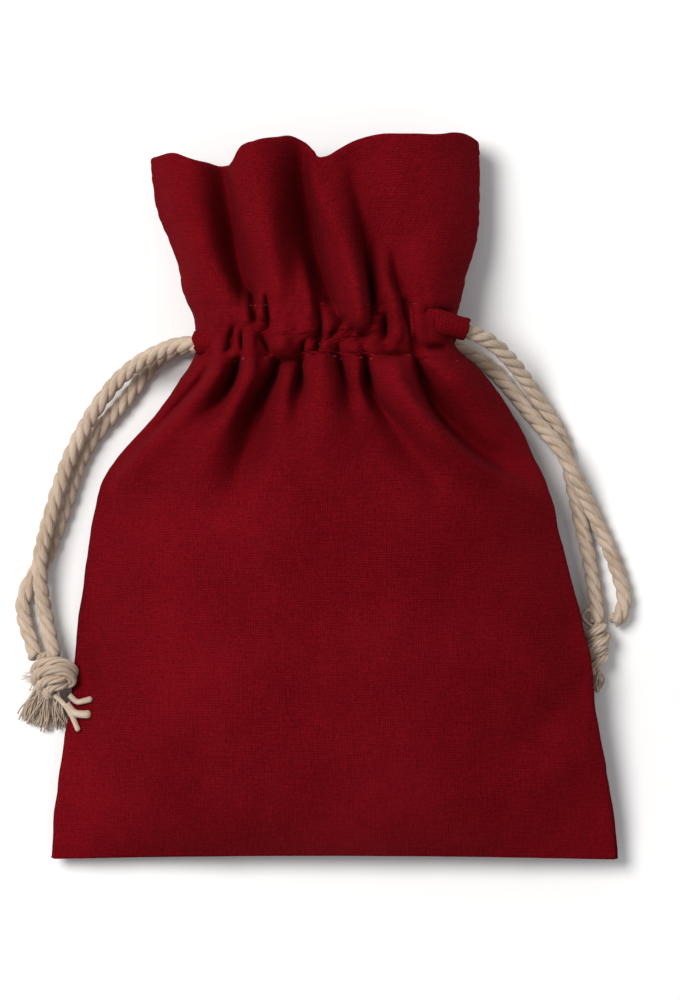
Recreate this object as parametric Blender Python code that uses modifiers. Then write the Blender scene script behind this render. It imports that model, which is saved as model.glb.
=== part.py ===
"""A small cotton drawstring pouch, lying on its back with its neck half drawn.

One sheet of cloth is folded at the bottom and sewn up both sides. Its top is turned in, and two rows of
stitches make a tunnel round the neck. Two cords run right round the tunnel, one from each side, and the
two ends of each cord come out at its own side and are knotted together.

The frame, in metres: +X across the pouch, +Y towards its mouth and +Z up, off the table. The origin is on
the table, at the middle of the cloth's footprint.
"""

import math

import bmesh
import bpy
import numpy as np
from mathutils import Vector

MM = 0.001

# The cloth
CLOTH = 0.6 * MM
HEADER_CLOTH = 1.2 * MM  # the turned-in top is two layers
BOTTOM_Y = -64.0 * MM
BOTTOM_HOLLOW = 0.8 * MM  # the bottom fold is pulled up in the middle
COLUMNS = 30  # strips across each panel
FLAT_SHARE = 0.42  # how much of the back's width lies flat

# The neck, a band with round ends that goes round the cords
NECK_Y = 28.9 * MM
NECK_LEFT = -24.8 * MM
NECK_RIGHT = 21.8 * MM
NECK_Z = 9.3 * MM
BAND_OUTER = 8.2 * MM  # radius of the band's ends
BAND_INNER = 3.0 * MM
BAND_HEIGHT = 9.4 * MM
TUNNEL_HEIGHT = 7.2 * MM
TUNNEL_OUTER = 7.5 * MM
TUNNEL_INNER = 3.7 * MM
RING = (BAND_OUTER + BAND_INNER) / 2  # radius of the middle of the band's wall
RING_LEFT = NECK_LEFT + BAND_OUTER  # centres of the band's round ends
RING_RIGHT = NECK_RIGHT - BAND_OUTER
SLIT_HALF_ANGLE = math.radians(77)  # the tunnels end in a slit at each side seam
SLIT_DEEP = 0.2 * MM
SLIT_PAST = 1.5 * MM

# The cords
CORD = 3.0 * MM
LEFT_CORD_Y = NECK_Y - 1.8 * MM
RIGHT_CORD_Y = NECK_Y + 1.8 * MM
TURN_STEPS = 8  # spans of a cord's turn at the far side of the neck
TURN_RADIUS = RING + 0.05 * MM
CORD_STEP = 2.1 * CORD  # between the points of a tube's free ends

# The pouch without its folds, in millimetres: one line for each place along it, with the two side seams'
# x, their z, the top of the front panel, the underside of the back panel, and how round the sides are.
STATIONS = [
    # y, left x, right x, left z, right z, front z, back z, round
    (-64.0, -50.0, 50.0, 3.2, 4.6, 5.6, 5.6, 0.0),
    (-61.0, -49.9, 49.8, 3.2, 5.0, 9.4, 2.6, 0.0),
    (-56.0, -49.3, 49.3, 3.2, 5.8, 14.0, 0.5, 0.0),
    (-47.0, -48.4, 48.0, 3.1, 7.2, 19.5, 0.0, 0.0),
    (-32.0, -46.6, 45.9, 3.1, 8.6, 24.6, 0.0, 0.0),
    (-15.0, -44.4, 42.2, 3.8, 9.0, 27.6, 0.0, 0.0),
    (0.0, -42.0, 38.8, 5.2, 9.2, 28.0, 0.0, 0.05),
    (9.0, -36.2, 34.6, 7.2, 9.3, 26.2, 0.0, 0.2),
    (16.0, -30.2, 30.6, 8.6, 9.3, 23.0, 0.6, 0.5),
    (20.6, -26.6, 26.6, 9.1, 9.3, 18.8, 2.0, 0.8),
    (24.6, -22.2, 19.2, 9.3, 9.3, 14.9, 3.7, 1.0),
    (33.4, -22.2, 19.2, 9.3, 9.3, 14.9, 3.7, 1.0),
    (38.0, -26.6, 22.8, 8.6, 9.0, 15.4, 2.2, 0.5),
    (45.0, -28.9, 25.0, 7.6, 8.4, 15.6, 0.9, 0.15),
    (54.0, -31.4, 25.8, 6.8, 8.0, 15.8, 0.4, 0.0),
    (62.0, -32.4, 26.0, 6.4, 7.8, 15.6, 0.4, 0.0),
]
HEADER_START_Y = 33.4  # where the folds of the top begin, in millimetres
ROW_STEP = 4.4  # millimetres between rows of faces

# The large folds of the front of the top, in millimetres: x at the neck, x at the mouth, how far up
# or down, half width.
HEADER_FOLDS = [
    (-22.0, -27.0, 1.8, 5.0),
    (-16.6, -18.8, -6.6, 2.6),
    (-8.6, -12.4, 3.0, 4.2),
    (-1.8, -4.6, -4.2, 2.9),
    (5.0, 1.0, 2.2, 3.4),
    (7.4, 6.0, -2.4, 2.2),
    (15.0, 16.0, 1.6, 6.5),
]
# The line of the mouth, in millimetres: x and y.
MOUTH_LINE = [
    (-33.0, 59.8), (-28.0, 59.9), (-20.0, 58.0), (-15.5, 61.0), (-9.0, 63.2), (-3.5, 59.6),
    (2.0, 61.0), (9.0, 63.4), (20.0, 64.0), (26.5, 62.9),
]  # fmt: skip

# Each cord's free ends, in millimetres, from where they leave the tunnel down to the knot.
LEFT_FRONT_END = [
    (-23.4, 27.1, 14.5), (-27.4, 26.8, 12.6), (-31.0, 25.6, 9.4), (-34.8, 23.6, 6.6), (-38.3, 20.7, 4.9),
    (-41.5, 16.8, 4.5), (-44.1, 12.6, 4.5), (-46.2, 8.5, 4.5), (-48.2, 3.4, 4.5), (-49.8, -1.6, 4.5),
    (-51.2, -6.6, 4.6), (-52.2, -11.4, 4.9), (-52.0, -15.6, 4.3), (-51.3, -20.4, 3.5), (-50.4, -24.6, 3.8),
    (-49.6, -28.3, 4.4),
]  # fmt: skip
LEFT_BACK_END = [
    (-23.6, 27.1, 3.2), (-27.2, 26.6, 1.9), (-30.6, 25.0, 1.7), (-33.4, 22.2, 1.7), (-35.9, 18.8, 1.7),
    (-38.9, 15.2, 1.7), (-41.9, 11.8, 1.7), (-44.4, 8.0, 1.7), (-46.2, 3.4, 1.7), (-47.7, -1.4, 1.7),
    (-49.4, -6.2, 1.7), (-51.2, -10.8, 1.7), (-53.8, -14.6, 1.7), (-55.2, -18.4, 1.7), (-54.7, -22.8, 2.1),
    (-53.6, -26.0, 3.0), (-53.0, -28.3, 3.7),
]  # fmt: skip
RIGHT_FRONT_END = [
    (19.6, 30.4, 14.7), (23.6, 29.2, 13.6), (27.5, 27.4, 11.0), (30.9, 24.5, 8.0), (34.0, 20.7, 5.0),
    (36.8, 16.7, 3.0), (39.3, 12.9, 2.0), (40.9, 9.4, 1.7), (41.9, 5.0, 1.7), (42.8, 0.6, 1.7),
    (44.0, -5.0, 1.7), (45.3, -10.6, 1.7), (46.1, -15.5, 1.9), (46.6, -19.6, 2.6), (46.6, -22.4, 3.1),
]  # fmt: skip
RIGHT_BACK_END = [
    (19.6, 29.2, 3.6), (22.0, 26.9, 2.5), (24.9, 25.1, 1.8), (28.0, 22.8, 1.7), (31.0, 19.6, 2.0),
    (34.0, 15.8, 3.0), (37.0, 12.2, 4.4), (39.9, 8.8, 5.0), (42.0, 5.2, 4.7), (44.4, 0.6, 3.2),
    (46.8, -4.4, 1.9), (49.2, -9.8, 1.7), (50.9, -14.6, 1.7), (51.6, -18.0, 1.8), (50.9, -20.8, 2.3),
    (49.7, -22.1, 2.7),
]  # fmt: skip

# Each knot with its frayed tail: centre, half sizes, and the end and radii of the tail, in millimetres.
LEFT_KNOT = {
    "centre": (-50.6, -32.6, 4.6),
    "half": (4.4, 3.5, 3.0),
    "rise": math.radians(12),
    "tail_end": (-51.4, -42.0, 2.4),
}
RIGHT_KNOT = {
    "centre": (47.6, -27.6, 3.4),
    "half": (3.3, 4.2, 3.0),
    "rise": 0.0,
    "tail_end": (46.6, -36.0, 2.5),
}
TAIL_ROOT = 1.6 * MM
TAIL_TIP = 2.2 * MM

RED_COTTON = (0.20, 0.008, 0.014)
RAW_COTTON = (0.56, 0.42, 0.29)


def clear_scene():
    for obj in list(bpy.data.objects):
        bpy.data.objects.remove(obj)


def collection(name, hidden=False):
    made = bpy.data.collections.new(name)
    bpy.context.scene.collection.children.link(made)
    made.hide_render = hidden
    return made


def material(name, colour):
    made = bpy.data.materials.new(name)
    made.use_nodes = True
    shader = made.node_tree.nodes["Principled BSDF"]
    shader.inputs["Base Color"].default_value = (*colour, 1.0)
    shader.inputs["Roughness"].default_value = 0.95
    shader.inputs["Metallic"].default_value = 0.0
    return made


def smooth_curve(knots, values, at):
    """The values at the places at, on a smooth curve through the knots: cubic spans whose slope at
    each knot is that of the line between its neighbours."""
    knots = np.asarray(knots, float)
    values = np.asarray(values, float)
    if values.ndim == 1:
        values = values[:, None]
    slopes = np.gradient(values, knots, axis=0)
    at = np.clip(at, knots[0], knots[-1])
    span = np.clip(np.searchsorted(knots, at, side="right") - 1, 0, len(knots) - 2)
    width = (knots[span + 1] - knots[span])[:, None]
    t = (at[:, None] - knots[span][:, None]) / width
    start = (1 + 2 * t) * (1 - t) ** 2 * values[span] + t * (1 - t) ** 2 * width * slopes[span]
    end = t * t * (3 - 2 * t) * values[span + 1] + t * t * (t - 1) * width * slopes[span + 1]
    return (start + end).squeeze()


def smooth_route(points, step):
    """Points about step apart along a smooth curve through the points."""
    points = np.asarray(points, float)
    lengths = np.linalg.norm(np.diff(points, axis=0), axis=1)
    along = np.concatenate([[0.0], np.cumsum(lengths)])
    count = max(2, round(along[-1] / step) + 1)
    return smooth_curve(along, points, np.linspace(0.0, along[-1], count))


def ring_of(y):
    """The pouch's cross-section at one place along it, in millimetres, as rows (x, y, z): the front
    panel from the left seam to the right, then the back panel from right to left. The front is a
    dome over the seams, and the back is flat on the table and turns up to the seams. Near the neck
    both turn into a loop with round ends."""
    left, right, left_z, right_z, front, back, roundness = smooth_curve(
        [s[0] for s in STATIONS], [s[1:] for s in STATIONS], np.array([y])
    )
    share = np.linspace(0.0, 1.0, COLUMNS + 1)
    across = (1 - roundness) * (2 * share - 1) - roundness * np.cos(math.pi * share)
    x = (left + right) / 2 + (right - left) / 2 * across
    seam_z = left_z + (right_z - left_z) * share
    dome = 1 - np.abs(across) ** 2.4
    straight = 1 - 2 * RING / MM / (right - left)
    past = np.clip((np.abs(across) - straight) / (1 - straight), 0, 1)
    loop = np.sqrt(np.clip(1 - past**2, 0, 1))
    front_z = seam_z + (front - (left_z + right_z) / 2) * ((1 - roundness) * dome + roundness * loop)
    side_z = np.where(across < 0, left_z, right_z)
    rise = np.clip((np.abs(across) - FLAT_SHARE) / (1 - FLAT_SHARE), 0, 1) ** 2.5
    back_z = back + (side_z - back) * ((1 - roundness) * rise + roundness * (1 - loop))
    if y > HEADER_START_Y:
        front_z, y_front = folded_top(x, y, front_z)
    else:
        y_front = y + BOTTOM_HOLLOW / MM * (1 - across**2) * np.clip((-54 - y) / 10, 0, 1)
    ones = np.ones_like(x)
    front_points = np.stack([x, y_front * ones, front_z], axis=1)
    back_points = np.stack([x, y_front * ones, back_z], axis=1)
    if y <= BOTTOM_Y / MM:
        back_points = front_points.copy()
    return np.concatenate([front_points, back_points[-2:0:-1]])


def folded_top(x, y, front_z):
    """The front of the top with its large folds, and where its rows lie: they end on the mouth's line."""
    last = STATIONS[-1][0]
    share = (y - HEADER_START_Y) / (last - HEADER_START_Y)
    grown = share ** 0.6
    for neck_x, mouth_x, height, half in HEADER_FOLDS:
        middle = neck_x + (mouth_x - neck_x) * share
        edge = np.clip((np.minimum(x - x[0], x[-1] - x)) / 3.0, 0, 1)
        front_z = front_z + edge * grown * height * np.exp(-(((x - middle) / half) ** 2))
    mouth = smooth_curve([p[0] for p in MOUTH_LINE], [p[1] for p in MOUTH_LINE], x)
    return front_z, y + (mouth - last) * share**2


def pouch_skin():
    """The outside of the cloth as an open skin: rings from the bottom fold to the mouth. Returns the
    object, with a vertex group that holds each point's share of the thickest wall."""
    stations = [s[0] for s in STATIONS]
    rows = [stations[0], stations[1]]
    for low, high in zip(stations[1:], stations[2:]):
        count = max(1, round((high - low) / ROW_STEP))
        rows += [low + (high - low) * (k + 1) / count for k in range(count)]
    rings = [ring_of(y) for y in rows]
    around = len(rings[0])
    mesh = bpy.data.meshes.new("pouch_cloth")
    faces = []
    for row in range(len(rings) - 1):
        for k in range(around):
            after = (k + 1) % around
            low, high = row * around, (row + 1) * around
            faces.append((low + k, high + k, high + after, low + after))
    mesh.from_pydata([Vector(p) * MM for ring in rings for p in ring], [], faces)
    obj = bpy.data.objects.new("pouch_cloth", mesh)
    shape = bmesh.new()
    shape.from_mesh(mesh)
    bmesh.ops.remove_doubles(shape, verts=shape.verts, dist=0.01 * MM)
    bmesh.ops.dissolve_degenerate(shape, edges=shape.edges, dist=0.01 * MM)
    bmesh.ops.recalc_face_normals(shape, faces=shape.faces)
    shape.to_mesh(mesh)
    shape.free()
    group = obj.vertex_groups.new(name="wall")
    for vertex in mesh.vertices:
        group.add([vertex.index], wall_at(vertex.co) / HEADER_CLOTH, "REPLACE")
    return obj


def wall_at(point):
    """The cloth's thickness at a point: thin where the two panels come together at the bottom fold and
    the seams, so that they don't run into each other."""
    y = point.y / MM
    wall = HEADER_CLOTH if y > HEADER_START_Y else CLOTH
    ring = ring_of(max(min(y, STATIONS[-1][0]), STATIONS[0][0]))
    front, back = ring[: COLUMNS + 1], np.concatenate([ring[COLUMNS:], ring[:1]])[::-1]
    gap = np.interp(point.x / MM, front[:, 0], front[:, 2] - back[:, 2]) * MM
    return max(0.25 * MM, min(wall, 0.3 * gap))


def flat_outline(name, outlines, y, height, helpers):
    """A plate across the pouch's length: the outlines, lists of (x, z), filled and drawn out along Y to
    that height about y, as a mesh."""
    curve = bpy.data.curves.new(name, "CURVE")
    curve.dimensions = "2D"
    curve.fill_mode = "BOTH"
    curve.extrude = height / 2
    for outline in outlines:
        spline = curve.splines.new("POLY")
        spline.points.add(len(outline) - 1)
        for point, (x, z) in zip(spline.points, outline):
            point.co = (x, z, 0.0, 1.0)
        spline.use_cyclic_u = True
    drawn = bpy.data.objects.new(name, curve)
    helpers.objects.link(drawn)
    drawn.location.y = y
    drawn.rotation_euler.x = math.pi / 2
    bpy.context.view_layer.update()
    plate = mesh_of(drawn, name)
    helpers.objects.link(plate)
    plate.display_type = "WIRE"
    plate.hide_render = True
    return plate


def mesh_of(drawn, name):
    """The curve object as a mesh object in its place, with its caps joined to its sides. The curve is
    removed."""
    graph = bpy.context.evaluated_depsgraph_get()
    mesh = bpy.data.meshes.new_from_object(drawn.evaluated_get(graph))
    shape = bmesh.new()
    shape.from_mesh(mesh)
    bmesh.ops.remove_doubles(shape, verts=shape.verts, dist=0.005 * MM)
    bmesh.ops.recalc_face_normals(shape, faces=shape.faces)
    shape.to_mesh(mesh)
    shape.free()
    matrix = drawn.matrix_world.copy()
    bpy.data.objects.remove(drawn)
    solid = bpy.data.objects.new(name, mesh)
    solid.matrix_world = matrix
    return solid


def arc(centre_x, radius, start, end, count):
    """Points of an arc about (centre_x, NECK_Z), as (x, z)."""
    angles = [start + (end - start) * k / count for k in range(count + 1)]
    return [(centre_x + radius * math.cos(a), NECK_Z + radius * math.sin(a)) for a in angles]


def loop_outline(radius):
    """A loop round the neck with round ends of that radius."""
    quarter = math.pi / 2
    return arc(RING_RIGHT, radius, -quarter, quarter, 10) + arc(RING_LEFT, radius, quarter, 3 * quarter, 10)


def slit_outline(centre_x, middle):
    """A curved slot through the band's outer wall at one side."""
    inner = arc(
        centre_x, TUNNEL_OUTER - SLIT_DEEP, middle - SLIT_HALF_ANGLE, middle + SLIT_HALF_ANGLE, 8
    )
    outer = arc(
        centre_x, BAND_OUTER + SLIT_PAST, middle + SLIT_HALF_ANGLE, middle - SLIT_HALF_ANGLE, 8
    )
    return inner + outer


def boolean(obj, name, operation, other):
    modifier = obj.modifiers.new(name, "BOOLEAN")
    modifier.operation = operation
    modifier.solver = "EXACT"
    modifier.object = other


def make_cloth(parts, helpers, finish):
    """The pouch: the skin thickened inwards, with the band of the neck joined on, the tunnel for the
    cords cut round it, and a slit at each side seam where the tunnel ends."""
    cloth = pouch_skin()
    parts.objects.link(cloth)
    cloth.data.materials.append(finish)
    wall = cloth.modifiers.new("cloth", "SOLIDIFY")
    wall.thickness = HEADER_CLOTH
    wall.offset = -1.0
    wall.vertex_group = "wall"
    wall.thickness_vertex_group = 0.0
    band = flat_outline(
        "neck_band", [loop_outline(BAND_OUTER), loop_outline(BAND_INNER)], NECK_Y, BAND_HEIGHT, helpers
    )
    tunnel = flat_outline(
        "cord_tunnel", [loop_outline(TUNNEL_OUTER), loop_outline(TUNNEL_INNER)], NECK_Y, TUNNEL_HEIGHT, helpers
    )
    boolean(cloth, "band", "UNION", band)
    boolean(cloth, "tunnel", "DIFFERENCE", tunnel)
    for side, centre_x, middle in (("left", RING_LEFT, math.pi), ("right", RING_RIGHT, 0.0)):
        slit = flat_outline(f"{side}_slit", [slit_outline(centre_x, middle)], NECK_Y, TUNNEL_HEIGHT, helpers)
        boolean(cloth, f"{side}_slit", "DIFFERENCE", slit)
    cloth.data.shade_smooth()
    return cloth


def cord_points(front_end, back_end, y, near_x, far_x, side):
    """The points of a cord's tube, in metres: up the front end, along the front tunnel, round the far
    side of the neck and back along the back tunnel to the back end. side is -1 for the left cord."""
    top = (near_x, y, NECK_Z + RING)
    bottom = (near_x, y, NECK_Z - RING)
    front = smooth_route([(np.array(p) * MM) for p in reversed(front_end)] + [top], CORD_STEP)
    back = smooth_route([bottom] + [(np.array(p) * MM) for p in back_end], CORD_STEP)
    angles = math.pi / 2 - math.pi * np.arange(TURN_STEPS + 1) / TURN_STEPS
    turn = np.stack(
        [
            far_x - side * TURN_RADIUS * np.cos(angles),
            np.full_like(angles, y),
            NECK_Z + TURN_RADIUS * np.sin(angles),
        ],
        axis=1,
    )
    return np.concatenate([front, turn, back])


def make_cord(name, points, parts, finish):
    """A plain tube along the points."""
    curve = bpy.data.curves.new(name, "CURVE")
    curve.dimensions = "3D"
    curve.bevel_depth = CORD / 2
    curve.bevel_resolution = 2
    curve.use_fill_caps = True
    spline = curve.splines.new("POLY")
    spline.points.add(len(points) - 1)
    for point, place in zip(spline.points, points):
        point.co = (*place, 1.0)
    cord = bpy.data.objects.new(name, curve)
    cord.data.materials.append(finish)
    parts.objects.link(cord)


def make_knot(name, knot, parts, helpers, finish):
    """A knot and its frayed tail as one plain solid: an egg, and a cone that widens away from it."""
    bpy.ops.mesh.primitive_uv_sphere_add(segments=20, ring_count=12, radius=1.0)
    egg = bpy.context.object
    egg.name = name
    centre = Vector(knot["centre"]) * MM
    for vertex in egg.data.vertices:
        vertex.co = Vector([c * h * MM for c, h in zip(vertex.co, knot["half"])])
    egg.rotation_euler.y = -knot["rise"]
    egg.location = centre
    egg.data.materials.append(finish)
    move_to(egg, parts)
    tip = Vector(knot["tail_end"]) * MM
    along = tip - centre
    bpy.ops.mesh.primitive_cone_add(
        vertices=14, radius1=TAIL_ROOT, radius2=TAIL_TIP, depth=along.length, location=(centre + tip) / 2
    )
    tail = bpy.context.object
    tail.name = name + "_tail"
    tail.rotation_euler = along.to_track_quat("Z", "Y").to_euler()
    tail.hide_render = True
    tail.display_type = "WIRE"
    move_to(tail, helpers)
    boolean(egg, "tail", "UNION", tail)
    egg.data.shade_smooth()


def move_to(obj, target):
    for owner in list(obj.users_collection):
        owner.objects.unlink(obj)
    target.objects.link(obj)


def main():
    clear_scene()
    parts = collection("drawstring_pouch")
    helpers = collection("cutters", hidden=True)
    red = material("red_cotton", RED_COTTON)
    raw = material("raw_cotton", RAW_COTTON)
    make_cloth(parts, helpers, red)
    left = cord_points(LEFT_FRONT_END, LEFT_BACK_END, LEFT_CORD_Y, RING_LEFT, RING_RIGHT, -1)
    right = cord_points(RIGHT_FRONT_END, RIGHT_BACK_END, RIGHT_CORD_Y, RING_RIGHT, RING_LEFT, 1)
    make_cord("left_cord", left, parts, raw)
    make_cord("right_cord", right, parts, raw)
    make_knot("left_knot", LEFT_KNOT, parts, helpers, raw)
    make_knot("right_knot", RIGHT_KNOT, parts, helpers, raw)


main()
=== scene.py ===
"""A small cotton drawstring pouch, lying on its back with its neck half drawn.

Lengths inside the shape functions are in millimetres, and become metres when a mesh is made. The frame:
+X across the pouch, +Y towards its mouth and +Z up, off the table.
"""

import math

import bpy
import numpy as np
from bpy.props import FloatProperty, FloatVectorProperty, IntProperty, PointerProperty
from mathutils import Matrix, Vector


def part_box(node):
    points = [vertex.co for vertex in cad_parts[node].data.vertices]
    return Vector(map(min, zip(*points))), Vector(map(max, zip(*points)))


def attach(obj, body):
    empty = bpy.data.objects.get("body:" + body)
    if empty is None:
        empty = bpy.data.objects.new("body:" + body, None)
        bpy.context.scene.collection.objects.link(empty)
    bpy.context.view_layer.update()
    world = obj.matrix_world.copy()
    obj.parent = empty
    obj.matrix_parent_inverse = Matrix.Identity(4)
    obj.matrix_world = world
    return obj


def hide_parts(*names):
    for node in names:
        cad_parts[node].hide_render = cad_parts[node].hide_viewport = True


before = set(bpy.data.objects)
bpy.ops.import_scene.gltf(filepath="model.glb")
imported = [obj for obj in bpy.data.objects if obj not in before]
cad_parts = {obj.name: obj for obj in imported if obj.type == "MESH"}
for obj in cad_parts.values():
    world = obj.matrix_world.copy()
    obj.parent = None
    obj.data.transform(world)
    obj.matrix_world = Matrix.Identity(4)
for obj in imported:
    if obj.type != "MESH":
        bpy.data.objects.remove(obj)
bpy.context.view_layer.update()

bl_info = {
    "name": "Drawstring Pouch",
    "version": (1, 0, 0),
    "blender": (4, 5, 0),
    "location": "View3D > Sidebar > Pouch",
    "description": "Makes a gathered cotton pouch with two twisted drawcords",
    "category": "Add Mesh",
}

CLOTH_LOW, CLOTH_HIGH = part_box("pouch_cloth")
BODY = "root"
MM = 0.001
TURN = 2 * math.pi

# ---------------------------------------------------------------------------------------------------
# Measures of the pouch, in millimetres
# ---------------------------------------------------------------------------------------------------

BOTTOM_Y = CLOTH_LOW[1] / MM
TOP_Y = 62.0  # the mouth's line is drawn from here
NECK_Y = 28.9
NECK_LEFT = -24.8
NECK_RIGHT = 21.8
NECK_Z = 9.3
RING = 5.6  # from the middle of the neck to the middle of the tunnel
LOWER_STITCHES_Y = 24.4
UPPER_STITCHES_Y = 33.6
CORD_LINE = {"left": NECK_Y - 1.8, "right": NECK_Y + 1.8}

# The side seams as they lie: y, left x, right x.
SIDES = [
    (-64.0, -50.0, 50.0), (-57.0, -49.5, 49.5), (-50.0, -48.7, 48.2), (-43.0, -47.6, 47.0),
    (-36.0, -46.4, 45.8), (-29.0, -45.8, 45.2), (-21.7, -45.2, 43.5), (-14.6, -44.1, 41.7),
    (-7.5, -43.1, 39.8), (-0.4, -41.8, 38.2), (3.1, -40.6, 37.0), (6.6, -38.4, 35.3),
    (10.2, -35.2, 33.6), (13.7, -32.1, 31.8), (17.3, -29.2, 29.5), (20.8, -26.9, 27.0),
    (23.6, -24.9, 24.4), (25.6, -24.2, 22.0), (28.0, -24.1, 20.8), (31.5, -24.4, 21.2),
    (35.0, -26.0, 22.0), (38.6, -26.8, 23.2), (42.1, -27.6, 24.1), (45.7, -28.6, 25.0),
    (49.2, -30.2, 25.3), (52.7, -30.9, 25.5), (56.3, -31.7, 25.5), (62.0, -32.2, 25.4),
]  # fmt: skip

# How the cross-section changes: y, left seam z, right seam z, top of the front, underside of the back,
# how round the sides are, how square the front is.
SECTIONS = [
    (-64.0, 3.2, 4.6, 5.4, 5.4, 0.0, 2.4),
    (-62.6, 3.2, 4.8, 7.2, 3.9, 0.0, 2.4),
    (-59.5, 3.2, 5.2, 10.2, 1.6, 0.0, 2.5),
    (-54.0, 3.2, 6.0, 13.8, 0.5, 0.0, 2.6),
    (-44.0, 3.1, 7.2, 18.0, 0.3, 0.0, 2.6),
    (-30.0, 3.1, 8.6, 21.6, 0.3, 0.0, 2.6),
    (-12.0, 3.8, 9.0, 24.2, 0.3, 0.0, 2.6),
    (2.0, 5.2, 9.2, 24.8, 0.3, 0.05, 2.6),
    (10.0, 7.0, 9.3, 24.0, 0.5, 0.15, 2.6),
    (17.0, 8.4, 9.3, 22.0, 0.7, 0.35, 2.6),
    (21.5, 9.0, 9.3, 20.8, 0.8, 0.7, 3.0),
    (25.0, 9.3, 9.3, 19.8, 0.9, 1.0, 3.0),
    (33.0, 9.3, 9.3, 19.6, 0.9, 1.0, 3.0),
    (38.0, 8.6, 9.0, 18.0, 0.9, 0.6, 4.0),
    (45.0, 7.6, 8.4, 16.4, 0.6, 0.15, 4.5),
    (54.0, 6.8, 8.0, 16.0, 0.5, 0.0, 4.5),
    (62.0, 6.4, 7.8, 15.8, 0.5, 0.0, 4.5),
]

# The line of the mouth: x and y.
MOUTH_LINE = [
    (-32.2, 59.4), (-28.5, 60.0), (-26.0, 59.2), (-22.0, 58.3), (-18.8, 57.8), (-17.7, 58.6), (-16.8, 60.3),
    (-13.9, 61.7), (-9.7, 62.4), (-6.9, 62.5), (-5.7, 61.7), (-4.4, 60.2), (-2.8, 59.2), (-1.6, 59.3),
    (0.8, 60.4), (4.0, 62.0), (8.1, 63.0), (14.5, 63.1), (19.4, 63.2), (21.2, 63.5), (24.2, 63.1),
    (25.6, 62.2),
]  # fmt: skip

# The folds of the front. Each is a line of places with x, y, height (a hollow is below 0) and the half
# widths of its left and right flanks.
HEADER_FOLDS = {
    "first hollow": [
        (-19.0, 64.0, -5.0, 3.6, 0.7), (-18.5, 57.0, -7.6, 3.6, 0.8), (-17.8, 50.6, -9.0, 3.2, 1.1),
        (-16.9, 42.4, -9.0, 2.6, 2.0), (-15.8, 36.5, -7.0, 1.7, 2.4), (-15.0, 32.5, 0.0, 1.0, 1.6),
    ],
    "second ridge": [
        (-13.4, 64.0, 3.6, 3.4, 5.0), (-12.8, 55.0, 4.2, 3.6, 4.4), (-11.4, 46.0, 4.2, 2.8, 3.2),
        (-10.0, 38.0, 2.6, 2.0, 2.4), (-9.0, 32.0, 0.0, 2.0, 2.0),
    ],
    "second hollow": [
        (-5.4, 64.0, -0.6, 2.4, 0.8), (-4.9, 58.0, -4.6, 3.4, 0.8), (-3.9, 50.6, -7.4, 4.0, 0.9),
        (-2.6, 43.0, -8.2, 3.8, 1.0), (-1.0, 36.6, -7.0, 2.8, 1.0), (0.2, 33.0, -3.6, 1.4, 0.9),
        (0.8, 30.5, 0.0, 1.0, 1.0),
    ],
    "tongue": [
        (-3.4, 64.0, 0.0, 2.0, 3.0), (-2.2, 56.0, 1.6, 1.8, 3.2), (-0.2, 50.6, 3.4, 2.0, 3.2),
        (1.9, 44.0, 5.0, 2.4, 2.8), (3.7, 37.0, 6.2, 2.3, 2.0), (4.6, 32.4, 6.4, 2.1, 1.6),
        (5.0, 30.2, 5.0, 1.9, 1.3), (5.0, 28.6, 0.0, 1.6, 1.1),
    ],
    "third hollow": [
        (2.6, 62.0, -0.4, 2.0, 4.5), (4.4, 52.0, -2.8, 1.6, 4.2), (5.6, 44.0, -5.0, 1.2, 2.6),
        (6.4, 38.0, -6.4, 0.9, 1.2), (6.8, 33.0, -5.0, 0.7, 0.9), (6.8, 29.5, 0.0, 0.7, 0.8),
    ],
    "small ridge": [
        (7.6, 46.0, 0.0, 1.4, 1.8), (8.6, 40.0, 1.9, 1.2, 1.5), (9.8, 35.6, 2.2, 1.1, 1.2),
        (10.6, 32.0, 0.0, 1.1, 1.2),
    ],
    "soft hollow": [
        (10.2, 47.0, 0.0, 1.8, 2.6), (11.0, 39.0, -2.4, 1.4, 2.0), (11.9, 34.5, -2.6, 1.1, 1.4),
        (12.2, 30.0, 0.0, 0.9, 1.1),
    ],
    "left panel": [
        (-27.0, 64.0, 1.0, 5.0, 5.0), (-25.6, 50.0, 1.6, 4.0, 4.6), (-23.0, 40.0, 1.4, 3.0, 4.0),
        (-21.5, 33.0, 0.0, 2.5, 3.0),
    ],
    "right panel": [
        (18.0, 64.0, 1.0, 8.0, 6.0), (18.0, 48.0, 1.2, 6.0, 5.0), (17.0, 38.0, 1.2, 4.0, 3.0),
        (17.0, 34.0, 0.0, 3.0, 3.0),
    ],
}
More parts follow.
